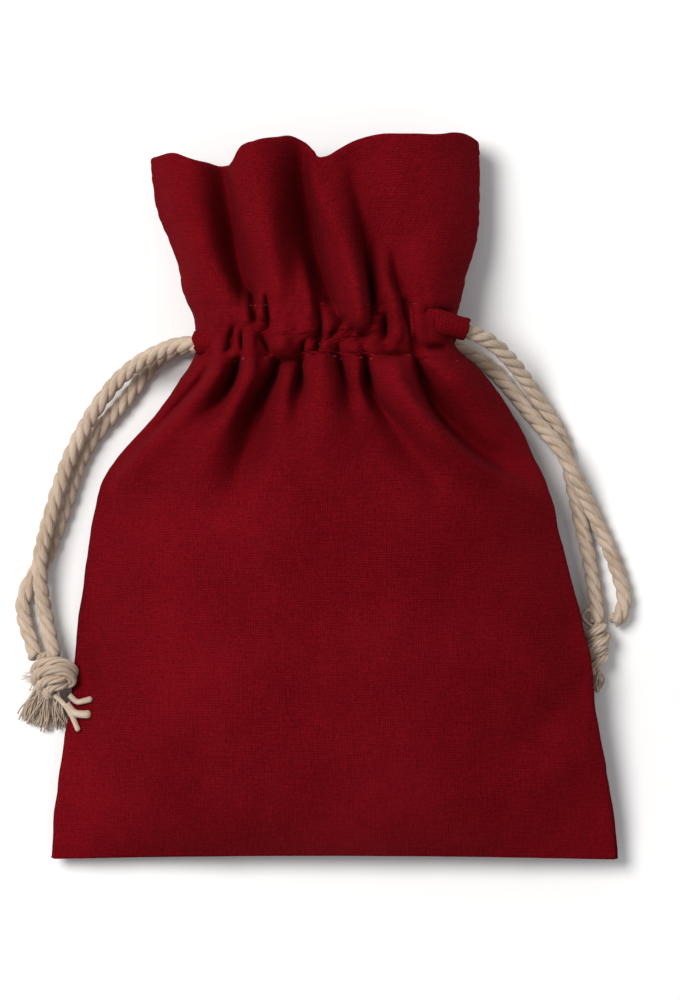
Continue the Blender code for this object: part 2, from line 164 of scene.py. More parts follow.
NECK_FOLDS = {
    "left slit": [
        (-17.4, 30.6, 0.0, 0.7, 0.5), (-17.8, 28.4, -3.2, 0.8, 0.5), (-18.2, 26.2, -3.0, 0.8, 0.6),
        (-19.2, 24.6, 0.0, 0.9, 0.7),
    ],
    "left pit": [
        (-16.6, 25.2, 0.0, 0.7, 0.6), (-16.8, 23.4, -5.0, 1.0, 0.7), (-17.4, 20.8, -5.4, 1.5, 0.8),
        (-19.4, 17.0, -3.6, 1.8, 1.2), (-22.0, 12.0, 0.0, 2.0, 2.0),
    ],
    "thin left slit": [
        (-16.1, 29.8, 0.0, 0.5, 0.5), (-16.1, 28.0, -2.2, 0.5, 0.5), (-16.0, 26.0, -1.8, 0.5, 0.5),
        (-15.9, 24.8, 0.0, 0.5, 0.5),
    ],
    "upper slit": [
        (-14.8, 37.8, 0.0, 0.8, 0.8), (-14.1, 34.6, -5.0, 0.8, 0.7), (-14.0, 31.8, -4.0, 0.6, 0.6),
        (-14.0, 30.2, 0.0, 0.6, 0.6),
    ],
    "first small ridge": [
        (-15.6, 36.4, 0.0, 0.6, 0.5), (-15.3, 33.6, 1.8, 0.7, 0.5), (-15.2, 30.6, 1.4, 0.7, 0.6),
        (-15.1, 29.0, 0.0, 0.6, 0.6),
    ],
    "second small ridge": [
        (-12.6, 37.0, 0.0, 0.5, 0.5), (-12.7, 34.0, 1.8, 0.6, 0.5), (-12.6, 31.0, 1.6, 0.7, 0.5),
        (-12.6, 29.2, 0.0, 0.7, 0.6),
    ],
    "upper line": [
        (-12.0, 36.6, 0.0, 0.5, 0.5), (-11.8, 34.0, -2.4, 0.5, 0.5), (-11.6, 30.8, -2.2, 0.5, 0.5),
        (-11.2, 28.4, 0.0, 0.5, 0.5),
    ],
    "diagonal slit": [
        (-13.0, 29.2, 0.0, 0.5, 0.6), (-12.5, 28.0, -2.4, 0.6, 0.6), (-11.6, 26.0, -2.8, 0.6, 0.7),
        (-10.8, 24.4, 0.0, 0.7, 0.8),
    ],
    "left pleat": [
        (-14.6, 30.4, 0.0, 0.9, 0.9), (-14.6, 28.0, 1.8, 1.0, 0.9), (-14.5, 25.0, 2.8, 1.1, 1.2),
        (-14.6, 22.0, 3.6, 1.4, 1.6), (-15.8, 18.6, 3.8, 2.0, 2.0), (-18.6, 14.0, 3.2, 3.2, 2.6),
        (-21.6, 8.6, 2.2, 4.2, 3.2), (-25.0, 2.0, 0.8, 5.0, 4.5), (-27.0, -4.0, 0.0, 5.0, 5.0),
    ],
    "main hollow": [
        (-10.0, 25.2, 0.0, 0.7, 0.7), (-10.0, 23.2, -5.2, 1.0, 1.0), (-10.6, 20.8, -7.0, 1.6, 1.2),
        (-12.2, 18.2, -7.2, 2.2, 1.7), (-13.8, 14.4, -6.6, 2.6, 2.6), (-14.9, 8.8, -5.2, 3.0, 3.4),
        (-16.9, 2.5, -3.0, 3.4, 3.8), (-18.6, -5.0, 0.0, 4.0, 4.0),
    ],
    "puff": [
        (-8.6, 31.2, 0.0, 1.4, 1.4), (-8.7, 29.0, 1.8, 1.8, 1.8), (-8.7, 26.6, 2.2, 1.9, 1.8),
        (-8.7, 24.4, 0.0, 1.8, 1.8),
    ],
    "middle left pleat": [
        (-7.8, 23.4, 0.0, 1.2, 1.2), (-8.0, 21.0, 1.6, 1.2, 1.2), (-8.8, 16.0, 1.6, 1.6, 2.0),
        (-10.0, 10.0, 0.9, 2.0, 3.2), (-11.6, 3.0, 0.0, 4.0, 4.0),
    ],
    "small middle ridge": [
        (-5.8, 44.0, 0.0, 1.2, 1.2), (-4.9, 38.0, 2.2, 1.1, 1.1), (-4.5, 34.0, 2.6, 1.2, 1.0),
        (-4.4, 30.0, 1.8, 1.1, 1.0), (-4.1, 26.8, 1.0, 1.0, 0.9), (-4.0, 24.8, 0.0, 1.0, 0.9),
    ],
    "middle slit": [
        (-5.0, 28.2, 0.0, 0.5, 0.5), (-5.4, 26.2, -3.2, 0.6, 0.5), (-5.6, 23.6, -4.8, 0.9, 0.6),
        (-5.6, 21.2, -6.2, 1.1, 0.7), (-6.0, 18.2, -3.4, 1.5, 1.3), (-6.4, 11.0, 0.0, 2.0, 2.0),
    ],
    "hooked slit": [
        (-2.8, 35.0, 0.0, 0.5, 0.5), (-2.6, 32.4, -2.6, 0.5, 0.6), (-2.3, 28.7, -3.6, 0.6, 0.6),
        (-2.9, 25.8, -3.4, 0.6, 0.6), (-3.8, 24.2, 0.0, 0.5, 0.7),
    ],
    "centre panel": [
        (-0.8, 31.8, 0.0, 0.8, 0.8), (-1.2, 29.0, 1.8, 0.9, 0.9), (-1.8, 26.0, 2.2, 1.1, 1.3),
        (-1.9, 22.6, 3.0, 2.2, 2.0), (-1.8, 18.0, 3.2, 3.0, 2.8), (-1.6, 8.0, 1.6, 5.0, 5.0),
        (-1.4, -2.0, 0.0, 7.0, 7.0),
    ],
    "centre slit": [
        (0.6, 27.4, 0.0, 0.6, 0.6), (1.0, 25.0, -3.2, 0.7, 0.6), (1.5, 22.6, -4.8, 0.9, 0.8),
        (2.3, 19.2, -3.6, 1.3, 1.0), (3.2, 12.6, 0.0, 2.0, 1.6),
    ],
    "under the tongue": [
        (3.4, 28.2, 0.0, 1.0, 1.0), (3.6, 26.4, 1.6, 1.2, 1.2), (3.8, 24.2, 1.2, 1.1, 1.1),
        (3.9, 21.6, 1.2, 1.0, 0.9), (4.2, 18.6, 0.6, 1.0, 1.0), (4.6, 15.4, 0.0, 1.2, 1.2),
    ],
    "right centre hollow": [
        (5.4, 25.8, 0.0, 0.6, 0.6), (5.7, 23.6, -4.4, 0.8, 0.8), (6.0, 21.0, -7.0, 1.1, 1.1),
        (6.9, 17.8, -5.8, 1.5, 1.4), (9.3, 14.2, -4.4, 2.2, 1.8), (12.6, 9.6, -3.0, 3.0, 2.6),
        (16.0, 4.8, -1.8, 3.8, 3.2), (19.0, -2.0, 0.0, 4.0, 3.6),
    ],
    "peak": [
        (7.2, 32.8, 0.0, 0.6, 0.6), (7.2, 31.6, 2.6, 0.7, 0.7), (7.1, 28.6, 2.2, 1.0, 1.0),
        (7.0, 26.4, 1.2, 1.2, 1.2), (7.0, 24.8, 0.0, 1.2, 1.2),
    ],
    "right pleat slit": [
        (9.0, 32.8, 0.0, 0.5, 0.5), (9.0, 31.0, -3.0, 0.6, 0.5), (9.1, 29.0, -2.6, 0.6, 0.5),
        (9.2, 27.4, 0.0, 0.5, 0.5),
    ],
    "right pleat": [
        (10.7, 36.4, 0.0, 1.0, 1.0), (10.8, 34.0, 2.0, 1.1, 1.0), (10.9, 31.0, 2.6, 1.1, 1.1),
        (11.0, 27.8, 2.4, 1.5, 1.3), (11.0, 25.2, 0.0, 1.6, 1.4),
    ],
    "right ridge": [
        (10.4, 25.0, 0.0, 2.4, 2.0), (10.6, 23.4, 2.8, 2.8, 2.0), (11.2, 20.4, 4.0, 2.8, 1.8),
        (13.4, 16.6, 4.8, 3.0, 1.8), (17.0, 12.4, 4.8, 3.8, 2.0), (21.2, 8.2, 4.2, 4.6, 2.4),
        (26.6, 4.2, 3.0, 5.6, 2.8), (32.0, 1.4, 1.5, 6.0, 3.4), (37.0, -2.4, 0.0, 6.0, 4.0),
    ],
    "strong right hollow": [
        (12.6, 35.4, 0.0, 0.6, 0.7), (12.9, 32.0, -3.6, 0.7, 0.9), (13.4, 29.4, -2.8, 0.6, 0.8),
        (13.9, 26.6, -4.4, 0.7, 1.1), (14.4, 24.0, -5.4, 0.7, 1.3), (15.3, 21.0, -7.4, 0.9, 2.2),
        (17.0, 17.2, -8.0, 1.1, 3.4), (19.8, 12.8, -7.4, 1.5, 4.4), (23.8, 9.0, -5.6, 1.9, 4.8),
        (28.0, 5.8, -3.6, 2.4, 4.6), (31.4, 3.4, -1.6, 3.0, 4.4), (35.0, 0.6, 0.0, 3.4, 4.0),
    ],
    "right shoulder": [
        (19.4, 25.6, 0.0, 1.6, 2.2), (21.0, 21.8, 1.0, 1.8, 2.4), (25.0, 17.0, 0.8, 2.4, 3.0),
        (30.0, 11.0, 0.0, 3.0, 3.2),
    ],
    "left shoulder": [
        (-19.2, 26.0, 0.0, 1.8, 1.6), (-20.4, 22.4, 3.0, 1.0, 1.8), (-25.4, 16.1, 4.4, 1.2, 3.4),
        (-30.6, 10.9, 4.6, 1.5, 4.6), (-36.6, 4.4, 3.4, 1.8, 5.6), (-40.5, -2.0, 0.0, 2.4, 6.0),
    ],
    "left groove": [
        (-21.0, 25.4, 0.0, 0.8, 0.6), (-22.6, 21.8, -1.8, 1.0, 0.7), (-27.6, 16.2, -2.6, 1.2, 0.8),
        (-32.8, 10.8, -2.2, 1.4, 0.9), (-37.8, 6.0, 0.0, 1.4, 1.0),
    ],
}
BODY_FOLDS = {
    "right diagonal hollow": [
        (47.0, -28.0, 0.0, 5.0, 4.0), (41.0, -36.0, -0.9, 6.0, 4.5), (33.0, -43.0, -0.9, 6.0, 5.0),
        (24.0, -52.0, 0.0, 6.0, 6.0),
    ],
    "right diagonal ridge": [
        (47.0, -38.0, 0.0, 5.0, 4.0), (41.5, -46.0, 0.9, 5.0, 4.0), (36.0, -52.0, 0.4, 5.0, 5.0),
        (30.0, -58.0, 0.0, 5.0, 5.0),
    ],
    "left hollow": [
        (-44.0, -24.0, 0.0, 2.0, 3.0), (-43.4, -34.0, -0.8, 2.0, 3.4), (-44.0, -44.0, -0.5, 2.0, 3.4),
        (-45.0, -54.0, 0.0, 2.0, 3.0),
    ],
}
# Short hollows: x, y, half width, half height, depth.
PITS = [
    (1.6, 30.8, 0.9, 1.0, -3.4),  # along the left of the tongue's tip
    (3.1, 29.2, 1.2, 0.8, -3.4),
    (5.0, 28.2, 1.2, 0.6, -3.4),  # under it
    (0.1, 29.0, 0.5, 0.6, -2.6),
    (-8.2, 23.7, 2.4, 0.7, -3.2),  # under the puff
    (10.9, 24.8, 1.6, 0.6, -2.2),
    (18.8, 32.4, 2.6, 0.8, -3.8),  # over the right tunnel end
    (18.4, 26.2, 2.4, 0.8, -3.8),  # under it
]

# The cords
STRANDS = 3
LEFT_FRONT_END = [
    (-23.4, 27.1, 14.5), (-27.4, 26.8, 12.6), (-31.0, 25.6, 9.4), (-34.8, 23.6, 6.6), (-38.3, 20.7, 4.9),
    (-41.5, 16.8, 4.5), (-44.1, 12.6, 4.5), (-46.2, 8.5, 4.5), (-48.2, 3.4, 4.5), (-49.8, -1.6, 4.5),
    (-51.2, -6.6, 4.6), (-52.2, -11.4, 4.9), (-52.0, -15.6, 4.3), (-51.3, -20.4, 3.5), (-50.4, -24.6, 3.8),
    (-49.6, -28.3, 4.4),
]  # fmt: skip
LEFT_BACK_END = [
    (-23.6, 27.1, 3.2), (-27.2, 26.6, 1.9), (-30.6, 25.0, 1.7), (-33.4, 22.2, 1.7), (-35.9, 18.8, 1.7),
    (-38.9, 15.2, 1.7), (-41.9, 11.8, 1.7), (-44.4, 8.0, 1.7), (-46.2, 3.4, 1.7), (-47.7, -1.4, 1.7),
    (-49.4, -6.2, 1.7), (-51.2, -10.8, 1.7), (-53.8, -14.6, 1.7), (-55.2, -18.4, 1.7), (-54.7, -22.8, 2.1),
    (-53.6, -26.0, 3.0), (-53.0, -28.3, 3.7),
]  # fmt: skip
RIGHT_FRONT_END = [
    (19.6, 30.4, 14.7), (23.6, 29.2, 13.6), (27.5, 27.4, 11.0), (30.9, 24.5, 8.0), (34.0, 20.7, 5.0),
    (36.8, 16.7, 3.0), (39.3, 12.9, 2.0), (40.9, 9.4, 1.7), (41.9, 5.0, 1.7), (42.8, 0.6, 1.7),
    (44.0, -5.0, 1.7), (45.3, -10.6, 1.7), (46.1, -15.5, 1.9), (46.6, -19.6, 2.6), (46.6, -22.4, 3.1),
]  # fmt: skip
RIGHT_BACK_END = [
    (19.6, 29.2, 3.6), (22.0, 26.9, 2.5), (24.9, 25.1, 1.8), (28.0, 22.8, 1.7), (31.0, 19.6, 2.0),
    (34.0, 15.8, 3.0), (37.0, 12.2, 4.4), (39.9, 8.8, 5.0), (42.0, 5.2, 4.7), (44.4, 0.6, 3.2),
    (46.8, -4.4, 1.9), (49.2, -9.8, 1.7), (50.9, -14.6, 1.7), (51.6, -18.0, 1.8), (50.9, -20.8, 2.3),
    (49.7, -22.1, 2.7),
]  # fmt: skip

# The knot that both ends of a cord are tied in, seen from above with the cord coming from +Y: the line
# that the pair of cords follows, about the knot's middle.
KNOT_LINE = [
    (-1.4, 4.4, -0.2), (-0.8, 2.6, -0.9), (0.4, 0.4, -1.7), (2.3, -1.3, -1.2), (3.3, -0.4, 0.5),
    (2.2, 1.2, 1.8), (-0.2, 1.7, 2.2), (-2.5, 1.0, 1.5), (-3.3, -0.5, -0.2), (-1.8, -1.4, -1.6),
    (0.8, -0.4, -2.0), (2.3, 0.0, -0.6), (1.4, -1.5, 1.3), (-0.6, -2.0, 1.7), (-1.7, -3.0, 0.6),
    (-1.6, -4.4, -0.4),
]  # fmt: skip


# ---------------------------------------------------------------------------------------------------
# Curves, noise and meshes
# ---------------------------------------------------------------------------------------------------


def smooth_curve(knots, values, at):
    """The values at the places at, on a smooth curve through the knots: cubic spans whose slope at
    each knot is that of the line between its neighbours. Places past the ends keep the end's value."""
    knots = np.asarray(knots, float)
    values = np.asarray(values, float)
    if knots[0] > knots[-1]:
        knots, values = knots[::-1], values[::-1]
    if values.ndim == 1:
        values = values[:, None]
    slopes = np.gradient(values, knots, axis=0)
    at = np.clip(np.asarray(at, float), knots[0], knots[-1])
    span = np.clip(np.searchsorted(knots, at, side="right") - 1, 0, len(knots) - 2)
    width = (knots[span + 1] - knots[span])[..., None]
    t = (at[..., None] - knots[span][..., None]) / width
    start = (1 + 2 * t) * (1 - t) ** 2 * values[span] + t * (1 - t) ** 2 * width * slopes[span]
    end = t * t * (3 - 2 * t) * values[span + 1] + t * t * (t - 1) * width * slopes[span + 1]
    return (start + end)[..., 0] if (start + end).shape[-1] == 1 else start + end


def smooth_route(points, step):
    """Points about step apart along a smooth curve through the points."""
    points = np.asarray(points, float)
    along = np.concatenate([[0.0], np.cumsum(np.linalg.norm(np.diff(points, axis=0), axis=1))])
    count = max(2, round(along[-1] / step) + 1)
    return smooth_curve(along, points, np.linspace(0.0, along[-1], count))


def line_length(points):
    return float(np.linalg.norm(np.diff(points, axis=0), axis=1).sum())


def step_up(value, low, high):
    """0 below low, 1 above high, and a smooth S between."""
    t = np.clip((value - low) / (high - low), 0, 1)
    return t * t * (3 - 2 * t)


def waves(x, y, size, seed, count=10):
    """Smooth random undulation of about -1 to 1: the sum of count sine waves in random directions,
    with wavelengths near size."""
    rng = np.random.default_rng(seed)
    angle = rng.uniform(0, TURN, count)
    wavelength = size * rng.uniform(0.6, 1.7, count)
    phase = rng.uniform(0, TURN, count)
    total = np.zeros(np.broadcast(x, y).shape)
    for a, w, p in zip(angle, wavelength, phase):
        total += np.sin(TURN * (x * math.cos(a) + y * math.sin(a)) / w + p)
    return total / math.sqrt(count)


def unit(vectors):
    return vectors / np.maximum(np.linalg.norm(vectors, axis=-1, keepdims=True), 1e-12)


def mesh_piece(name, points, faces, material, uvs=None, smooth=True):
    """An object at the origin with those points, in millimetres, its faces, and a UV for each corner."""
    mesh = bpy.data.meshes.new(name)
    mesh.from_pydata((np.asarray(points).reshape(-1, 3) * MM).tolist(), [], faces)
    if uvs is not None:
        layer = mesh.uv_layers.new(name="UVMap")
        layer.data.foreach_set("uv", np.asarray(uvs, np.float32).ravel())
    mesh.materials.append(material)
    if smooth:
        mesh.shade_smooth()
    mesh.update()
    piece = bpy.data.objects.new(name, mesh)
    bpy.context.scene.collection.objects.link(piece)
    return piece


def grid_faces(rows, columns, wrap):
    """Quads of a grid of points numbered row by row. With wrap, the last column joins the first."""
    row = np.arange(rows - 1)[:, None]
    column = np.arange(columns if wrap else columns - 1)[None, :]
    after = (column + 1) % columns
    low, high = row * columns, (row + 1) * columns
    return np.stack([low + column, low + after, high + after, high + column], axis=-1).reshape(-1, 4)


def tubes(centres, radii, sides, reference):
    """Round tubes along many lines at once. centres is tubes by rings by 3, radii is tubes by rings.
    Each ring is centre + radius (cos a side + sin a up), where side is square to the line and to the
    reference direction. Returns points, faces with flat end caps, and UVs: share of the way round,
    and length along the tube in metres."""
    count, rings = centres.shape[:2]
    along = unit(np.gradient(centres, axis=1))
    side = unit(np.cross(along, np.asarray(reference, float)))
    up = np.cross(side, along)
    angle = TURN * np.arange(sides) / sides
    ring = (
        np.cos(angle)[None, None, :, None] * side[:, :, None, :]
        + np.sin(angle)[None, None, :, None] * up[:, :, None, :]
    )
    points = centres[:, :, None, :] + radii[:, :, None, None] * ring
    quads = grid_faces(rings, sides, wrap=True)[:, ::-1]
    steps = np.linalg.norm(np.diff(centres, axis=1), axis=2)
    length = np.concatenate([np.zeros((count, 1)), np.cumsum(steps, axis=1)], axis=1) * MM
    column = np.tile(np.arange(sides), rings - 1)
    row = np.repeat(np.arange(rings - 1), sides)
    corner_u = np.stack([column, column + 1, column + 1, column], axis=1) / sides
    corner_row = np.stack([row + 1, row + 1, row, row], axis=1)
    faces = []
    uvs = []
    for k in range(count):
        base = k * rings * sides
        faces += (quads + base).tolist()
        uvs.append(np.stack([corner_u + k * 0.37, length[k][corner_row]], axis=-1).reshape(-1, 2))
        faces.append((base + np.arange(sides)).tolist())
        faces.append((base + (rings - 1) * sides + np.arange(sides))[::-1].tolist())
        uvs.append(np.zeros((2 * sides, 2)))
    return points.reshape(-1, 3), faces, np.concatenate(uvs)


# ---------------------------------------------------------------------------------------------------
# The cloth's shape
# ---------------------------------------------------------------------------------------------------

FRONT_COLUMNS = 180
BACK_COLUMNS = 90  # half of the front's, so that the bottom fold can join the two
END_RADIUS = 8.6  # of the neck's round sides
FLAT_SHARE = 0.42  # how much of the back's width lies flat
LAYER_GAP = 0.9  # between the middles of the two layers of the turned-in top
INNER_WIDE = 0.764  # the layer inside the cords, as a share of the neck's width
INNER_HIGH = 0.36  # and of its height
FACING_END_Y = 22.2  # the turned-in cloth ends here, inside
BACK_PLEATS = 9


def fold_height(folds, x, y):
    """The height that the folds add at each place: for each fold, its height at that y times a bell
    curve of the distance from its line, with a left and a right width."""
    total = np.zeros(x.shape)
    for knots in folds.values():
        line = np.array(knots)
        near = smooth_curve(line[:, 1], line[:, [0, 2, 3, 4]], y)
        away = x - near[..., 0]
        width = np.where(away < 0, near[..., 2], near[..., 3])
        total += near[..., 1] * np.exp(-((away / np.maximum(width, 0.3)) ** 2))
    return total


def pit_depth(x, y):
    """The depth that the short hollows add: an elliptic bell for each."""
    total = np.zeros(x.shape)
    for pit_x, pit_y, half_x, half_y, depth in PITS:
        total += depth * np.exp(-(((x - pit_x) / half_x) ** 2) - ((y - pit_y) / half_y) ** 2)
    return total


def stitch_wander(x):
    """How far the rows of stitches stray up or down, along x."""
    return 0.45 * waves(x, 0 * x, 13.0, 6) + 0.15 * waves(x, 0 * x, 4.0, 7)


def small_pleats(x, y):
    """Narrow pleats where the cloth is gathered: wide crests and narrow hollows, 1 - |sin|^0.5, whose
    places drift up and down the neck."""
    drift = 0.5 * waves(x * 0.6, y * 0.5, 6.0, 12)
    even = np.abs(np.sin(math.pi * (x / 3.3 + drift)))
    gathered = np.exp(-(((y - NECK_Y) / 7.5) ** 2))
    strength = 0.75 + 0.45 * waves(x, y * 0.4, 7.0, 13)
    return -0.6 * gathered * np.maximum(strength, 0.1) * (1 - even**0.55)


def front_relief(x, y):
    """All the folds of the front, with small random unevenness, strongest where the cloth is gathered."""
    header = fold_height(HEADER_FOLDS, x, y)
    neck = fold_height(NECK_FOLDS, x, y)
    body = fold_height(BODY_FOLDS, x, y)
    gathered = np.exp(-(((y - NECK_Y) / 9.0) ** 2))
    fine = small_pleats(x, y) + 0.16 * gathered * waves(x * 1.6, y * 0.8, 3.4, 5, 14)
    uneven = 0.18 * waves(x, y, 14.0, 3) + 0.08 * waves(x, y, 5.0, 4)
    in_tunnel = step_up(y, 23.4, 25.0) * (1 - step_up(y, 33.0, 34.6))
    stray = stitch_wander(x)
    below = y - LOWER_STITCHES_Y - stray
    above = y - UPPER_STITCHES_Y - stray
    stitched = 0.6 * np.exp(-((below / 0.6) ** 2)) + 0.25 * np.exp(-((above / 0.5) ** 2))
    total = header + neck + body + pit_depth(x, y) + fine + uneven - stitched
    shallow = np.maximum(total, -2.8) + 0.04 * np.minimum(total + 2.8, 0)
    return total + in_tunnel * (shallow - total)


def back_relief(share, y):
    """The back's gathers: pleats that are deepest at the neck and die out into the body and the top,
    in the same way on both sides of the stitches. They rise into the pouch, off the table."""
    reach = np.where(y < NECK_Y, 17.0, 13.0)
    deep = 2.4 * np.exp(-(((y - NECK_Y) / reach) ** 2))
    drift = 0.35 * waves(share * 30, y * 0.5, 16.0, 8)
    narrow = 0.5 - 0.5 * np.cos(TURN * (BACK_PLEATS * share + drift))
    broad = 0.5 - 0.5 * np.cos(TURN * (0.45 * BACK_PLEATS * share + 0.2 + drift))
    near = np.exp(-(((y - NECK_Y) / 7.0) ** 2))
    edge = step_up(share, 0.0, 0.08) * step_up(1 - share, 0.0, 0.08)
    return edge * deep * (near * narrow**1.4 + (1 - near) * broad**1.6)


def side_lines(y):
    """The side seams' x and z, and the section's heights, at each y."""
    edges = np.array(SIDES)
    sections = np.array(SECTIONS)
    left, right = np.moveaxis(smooth_curve(edges[:, 0], edges[:, 1:], y), -1, 0)
    rough = 0.5 + 0.5 * step_up(y, 20.0, 45.0)
    left = left + rough * (0.16 * waves(y, 0 * y, 7.0, 14) + 0.07 * waves(y, 0 * y, 1.6, 15))
    right = right + rough * (0.14 * waves(y, 0 * y, 7.0, 16) + 0.07 * waves(y, 0 * y, 1.6, 17))
    return (left, right, *np.moveaxis(smooth_curve(sections[:, 0], sections[:, 1:], y), -1, 0))


def panel(share, y, is_front, folded=True):
    """Places on the front or back panel. share runs from 0 at the left seam to 1 at the right. The front
    is a dome over the line between the seams, plus its folds. The back is flat on the table and turns
    up to the seams. At the neck both become the halves of a loop with round ends."""
    left, right, left_z, right_z, top, under, roundness, square = side_lines(y)
    across = (1 - roundness) * (2 * share - 1) - roundness * np.cos(math.pi * share)
    half = (right - left) / 2
    x = (left + right) / 2 + half * across
    seam_z = left_z + (right_z - left_z) * share
    straight = 1 - END_RADIUS / half
    past = np.clip((np.abs(across) - straight) / (1 - straight), 0, 1)
    loop = np.sqrt(np.clip(1 - past**2, 0, 1))
    if is_front:
        dome = 1 - np.abs(across) ** square
        z = seam_z + (top - (left_z + right_z) / 2) * ((1 - roundness) * dome + roundness * loop)
        if folded:
            edge = step_up(half * (1 - np.abs(across)), 0.0, 3.2)
            z = z + edge * front_relief(x, y)
            low = under + 1.6
            z = np.where(z < seam_z - 1.5, np.maximum(z, low), z)
    else:
        rise = np.clip((np.abs(across) - FLAT_SHARE) / (1 - FLAT_SHARE), 0, 1) ** 2.5
        side_z = np.where(across < 0, left_z, right_z)
        z = under + (side_z - under) * ((1 - roundness) * rise + roundness * (1 - loop))
        if folded:
            in_tunnel = step_up(y, 22.5, 24.5) * (1 - step_up(y, 33.4, 35.4))
            relief = back_relief(share, y) * (1 - rise)
            z = z + relief * (1 - 0.6 * in_tunnel)
    mouth = np.array(MOUTH_LINE)
    up = step_up(y, UPPER_STITCHES_Y, 78.0) / step_up(TOP_Y, UPPER_STITCHES_Y, 78.0)
    reached = smooth_curve(mouth[:, 0], mouth[:, 1], x)
    bottom_bow = 0.8 * (1 - across**2) * np.clip((-54 - y) / 10, 0, 1)
    return np.stack([x, y + (reached - TOP_Y) * up + bottom_bow, z], axis=-1)


def even_shares(y, columns, is_front):
    """For each row, shares that put the columns at nearly even distances along the folded cloth."""
    fine = np.linspace(0, 1, 900)
    places = panel(np.broadcast_to(fine, (len(y), 900)), np.broadcast_to(y[:, None], (len(y), 900)), is_front)
    steps = np.linalg.norm(np.diff(places[..., [0, 2]], axis=1), axis=2)
    steps = 0.75 * steps + 0.25 * steps.mean(axis=1, keepdims=True)
    run = np.concatenate([np.zeros((len(y), 1)), np.cumsum(steps, axis=1)], axis=1)
    run /= run[:, -1:]
    wanted = np.linspace(0, 1, columns + 1)
    return np.stack([np.interp(wanted, row, fine) for row in run])


def body_rows():
    """The rows of the outer layer, from the bottom fold to the mouth, closest at the neck."""
    stretches = [(-64.0, -61.0, 0.6), (-61.0, 0.0, 1.75), (0.0, 20.0, 1.0), (20.0, 37.0, 0.42), (37.0, 62.0, 0.7)]
    rows = [np.array([BOTTOM_Y])]
    for low, high, step in stretches:
        count = max(1, round((high - low) / step))
        rows.append(low + (high - low) * np.arange(1, count + 1) / count)
    return np.concatenate(rows)


def loop_of(y, folded, shares):
    """Rings round the pouch at each y: the front from left to right, then the back from right to left."""
    front_share, back_share = shares
    grid_y = np.broadcast_to(y[:, None], front_share.shape)
    front = panel(front_share, grid_y, True, folded)
    back = panel(back_share, np.broadcast_to(y[:, None], back_share.shape), False, folded)
    if y[0] <= BOTTOM_Y + 0.01:
        front[0, :, 2] += 0.5
        back[0, :, 2] = front[0, ::2, 2] - 1.0
    return np.concatenate([front, back[:, -2:0:-1]], axis=1)


def outward(rings):
    """Unit normals of rings that close on themselves, from the differences between neighbours."""
    around = np.roll(rings, -1, axis=1) - np.roll(rings, 1, axis=1)
    upward = np.gradient(rings, axis=0)
    return unit(np.cross(around, upward))


def cloth_sheet():
    """The whole cloth as one open sheet: the outer layer from the bottom fold to the mouth, a round edge
    there, and the turned-in layer down the inside, which stands off the outer one where the cords run.
    Returns the rings, how far along the cloth each is, the number of outer rings and the outer normals."""
    y = body_rows()
    shares = (even_shares(y, FRONT_COLUMNS, True), even_shares(y, BACK_COLUMNS, False))
    outer = loop_of(y, True, shares)
    plain = loop_of(y, False, shares)
    normal = outward(outer)
    top_along = unit(outer[-1] - outer[-2])
    radius = LAYER_GAP / 2
    rim = []
    for angle in (0.25 * math.pi, 0.5 * math.pi, 0.75 * math.pi):
        turned = normal[-1] * math.cos(angle) + top_along * math.sin(angle)
        rim.append(outer[-1] - normal[-1] * radius + turned * radius)
    keep = np.flatnonzero(y >= FACING_END_Y)[::-2]
    apart = step_up(y[keep], 23.0, 25.6) * (1 - step_up(y[keep], 32.4, 35.4))
    close = outer[keep] - normal[keep] * LAYER_GAP
    axis = np.array([(NECK_LEFT + NECK_RIGHT) / 2, 0.0, NECK_Z])
    wide = axis + (plain[keep] - axis) * np.array([INNER_WIDE, 1.0, INNER_HIGH])
    facing = close + (wide - close) * apart[:, None, None]
    rings = np.concatenate([outer, np.array(rim), facing])
    steps = np.linalg.norm(np.diff(rings, axis=0), axis=2).mean(axis=1)
    along = np.concatenate([[0.0], np.cumsum(steps)])
    return rings, along, len(y), normal


def bottom_fold_faces():
    """Triangles that join the front's first row to the back's, which has half as many columns."""
    columns = FRONT_COLUMNS + BACK_COLUMNS
    k = np.arange(BACK_COLUMNS)
    back = (columns - k) % columns
    after = columns - k - 1
    front = 2 * k
    faces = [
        np.stack([front, back, front + 1], axis=1)[1:],
        np.stack([front + 1, back, after], axis=1),
        np.stack([front + 1, after, front + 2], axis=1)[:-1],
    ]
    return np.concatenate(faces)


# Where the tunnel's ends stand out at the seams, round the cords: places along each, with their half
# width and half height.
TUNNEL_ENDS = {
    "right front": [
        (13.0, 30.6, 16.4, 3.0, 2.6), (16.4, 30.8, 16.0, 2.6, 2.4), (19.4, 30.4, 15.4, 2.0, 2.1),
        (21.6, 29.9, 14.8, 1.7, 1.8), (23.1, 29.5, 14.3, 1.75, 1.75),
    ],
    "left front": [
        (-17.0, 27.6, 15.0, 2.2, 2.0), (-20.0, 27.5, 14.9, 2.0, 1.9), (-22.6, 27.3, 14.6, 1.8, 1.8),
        (-24.2, 27.1, 14.2, 1.8, 1.8),
    ],
    "right back": [
        (13.6, 30.4, 4.0, 2.2, 2.2), (17.2, 30.2, 3.8, 2.1, 2.1), (19.6, 29.0, 3.4, 1.9, 1.9),
        (20.9, 27.8, 3.0, 1.8, 1.8),
    ],
    "left back": [
        (-17.0, 27.4, 4.0, 2.2, 2.2), (-20.4, 27.3, 3.8, 2.1, 2.1), (-22.8, 27.2, 3.4, 1.9, 1.9),
        (-24.0, 27.0, 3.0, 1.8, 1.8),
    ],
}  # fmt: skip
END_SIDES = 28
END_RINGS = 16


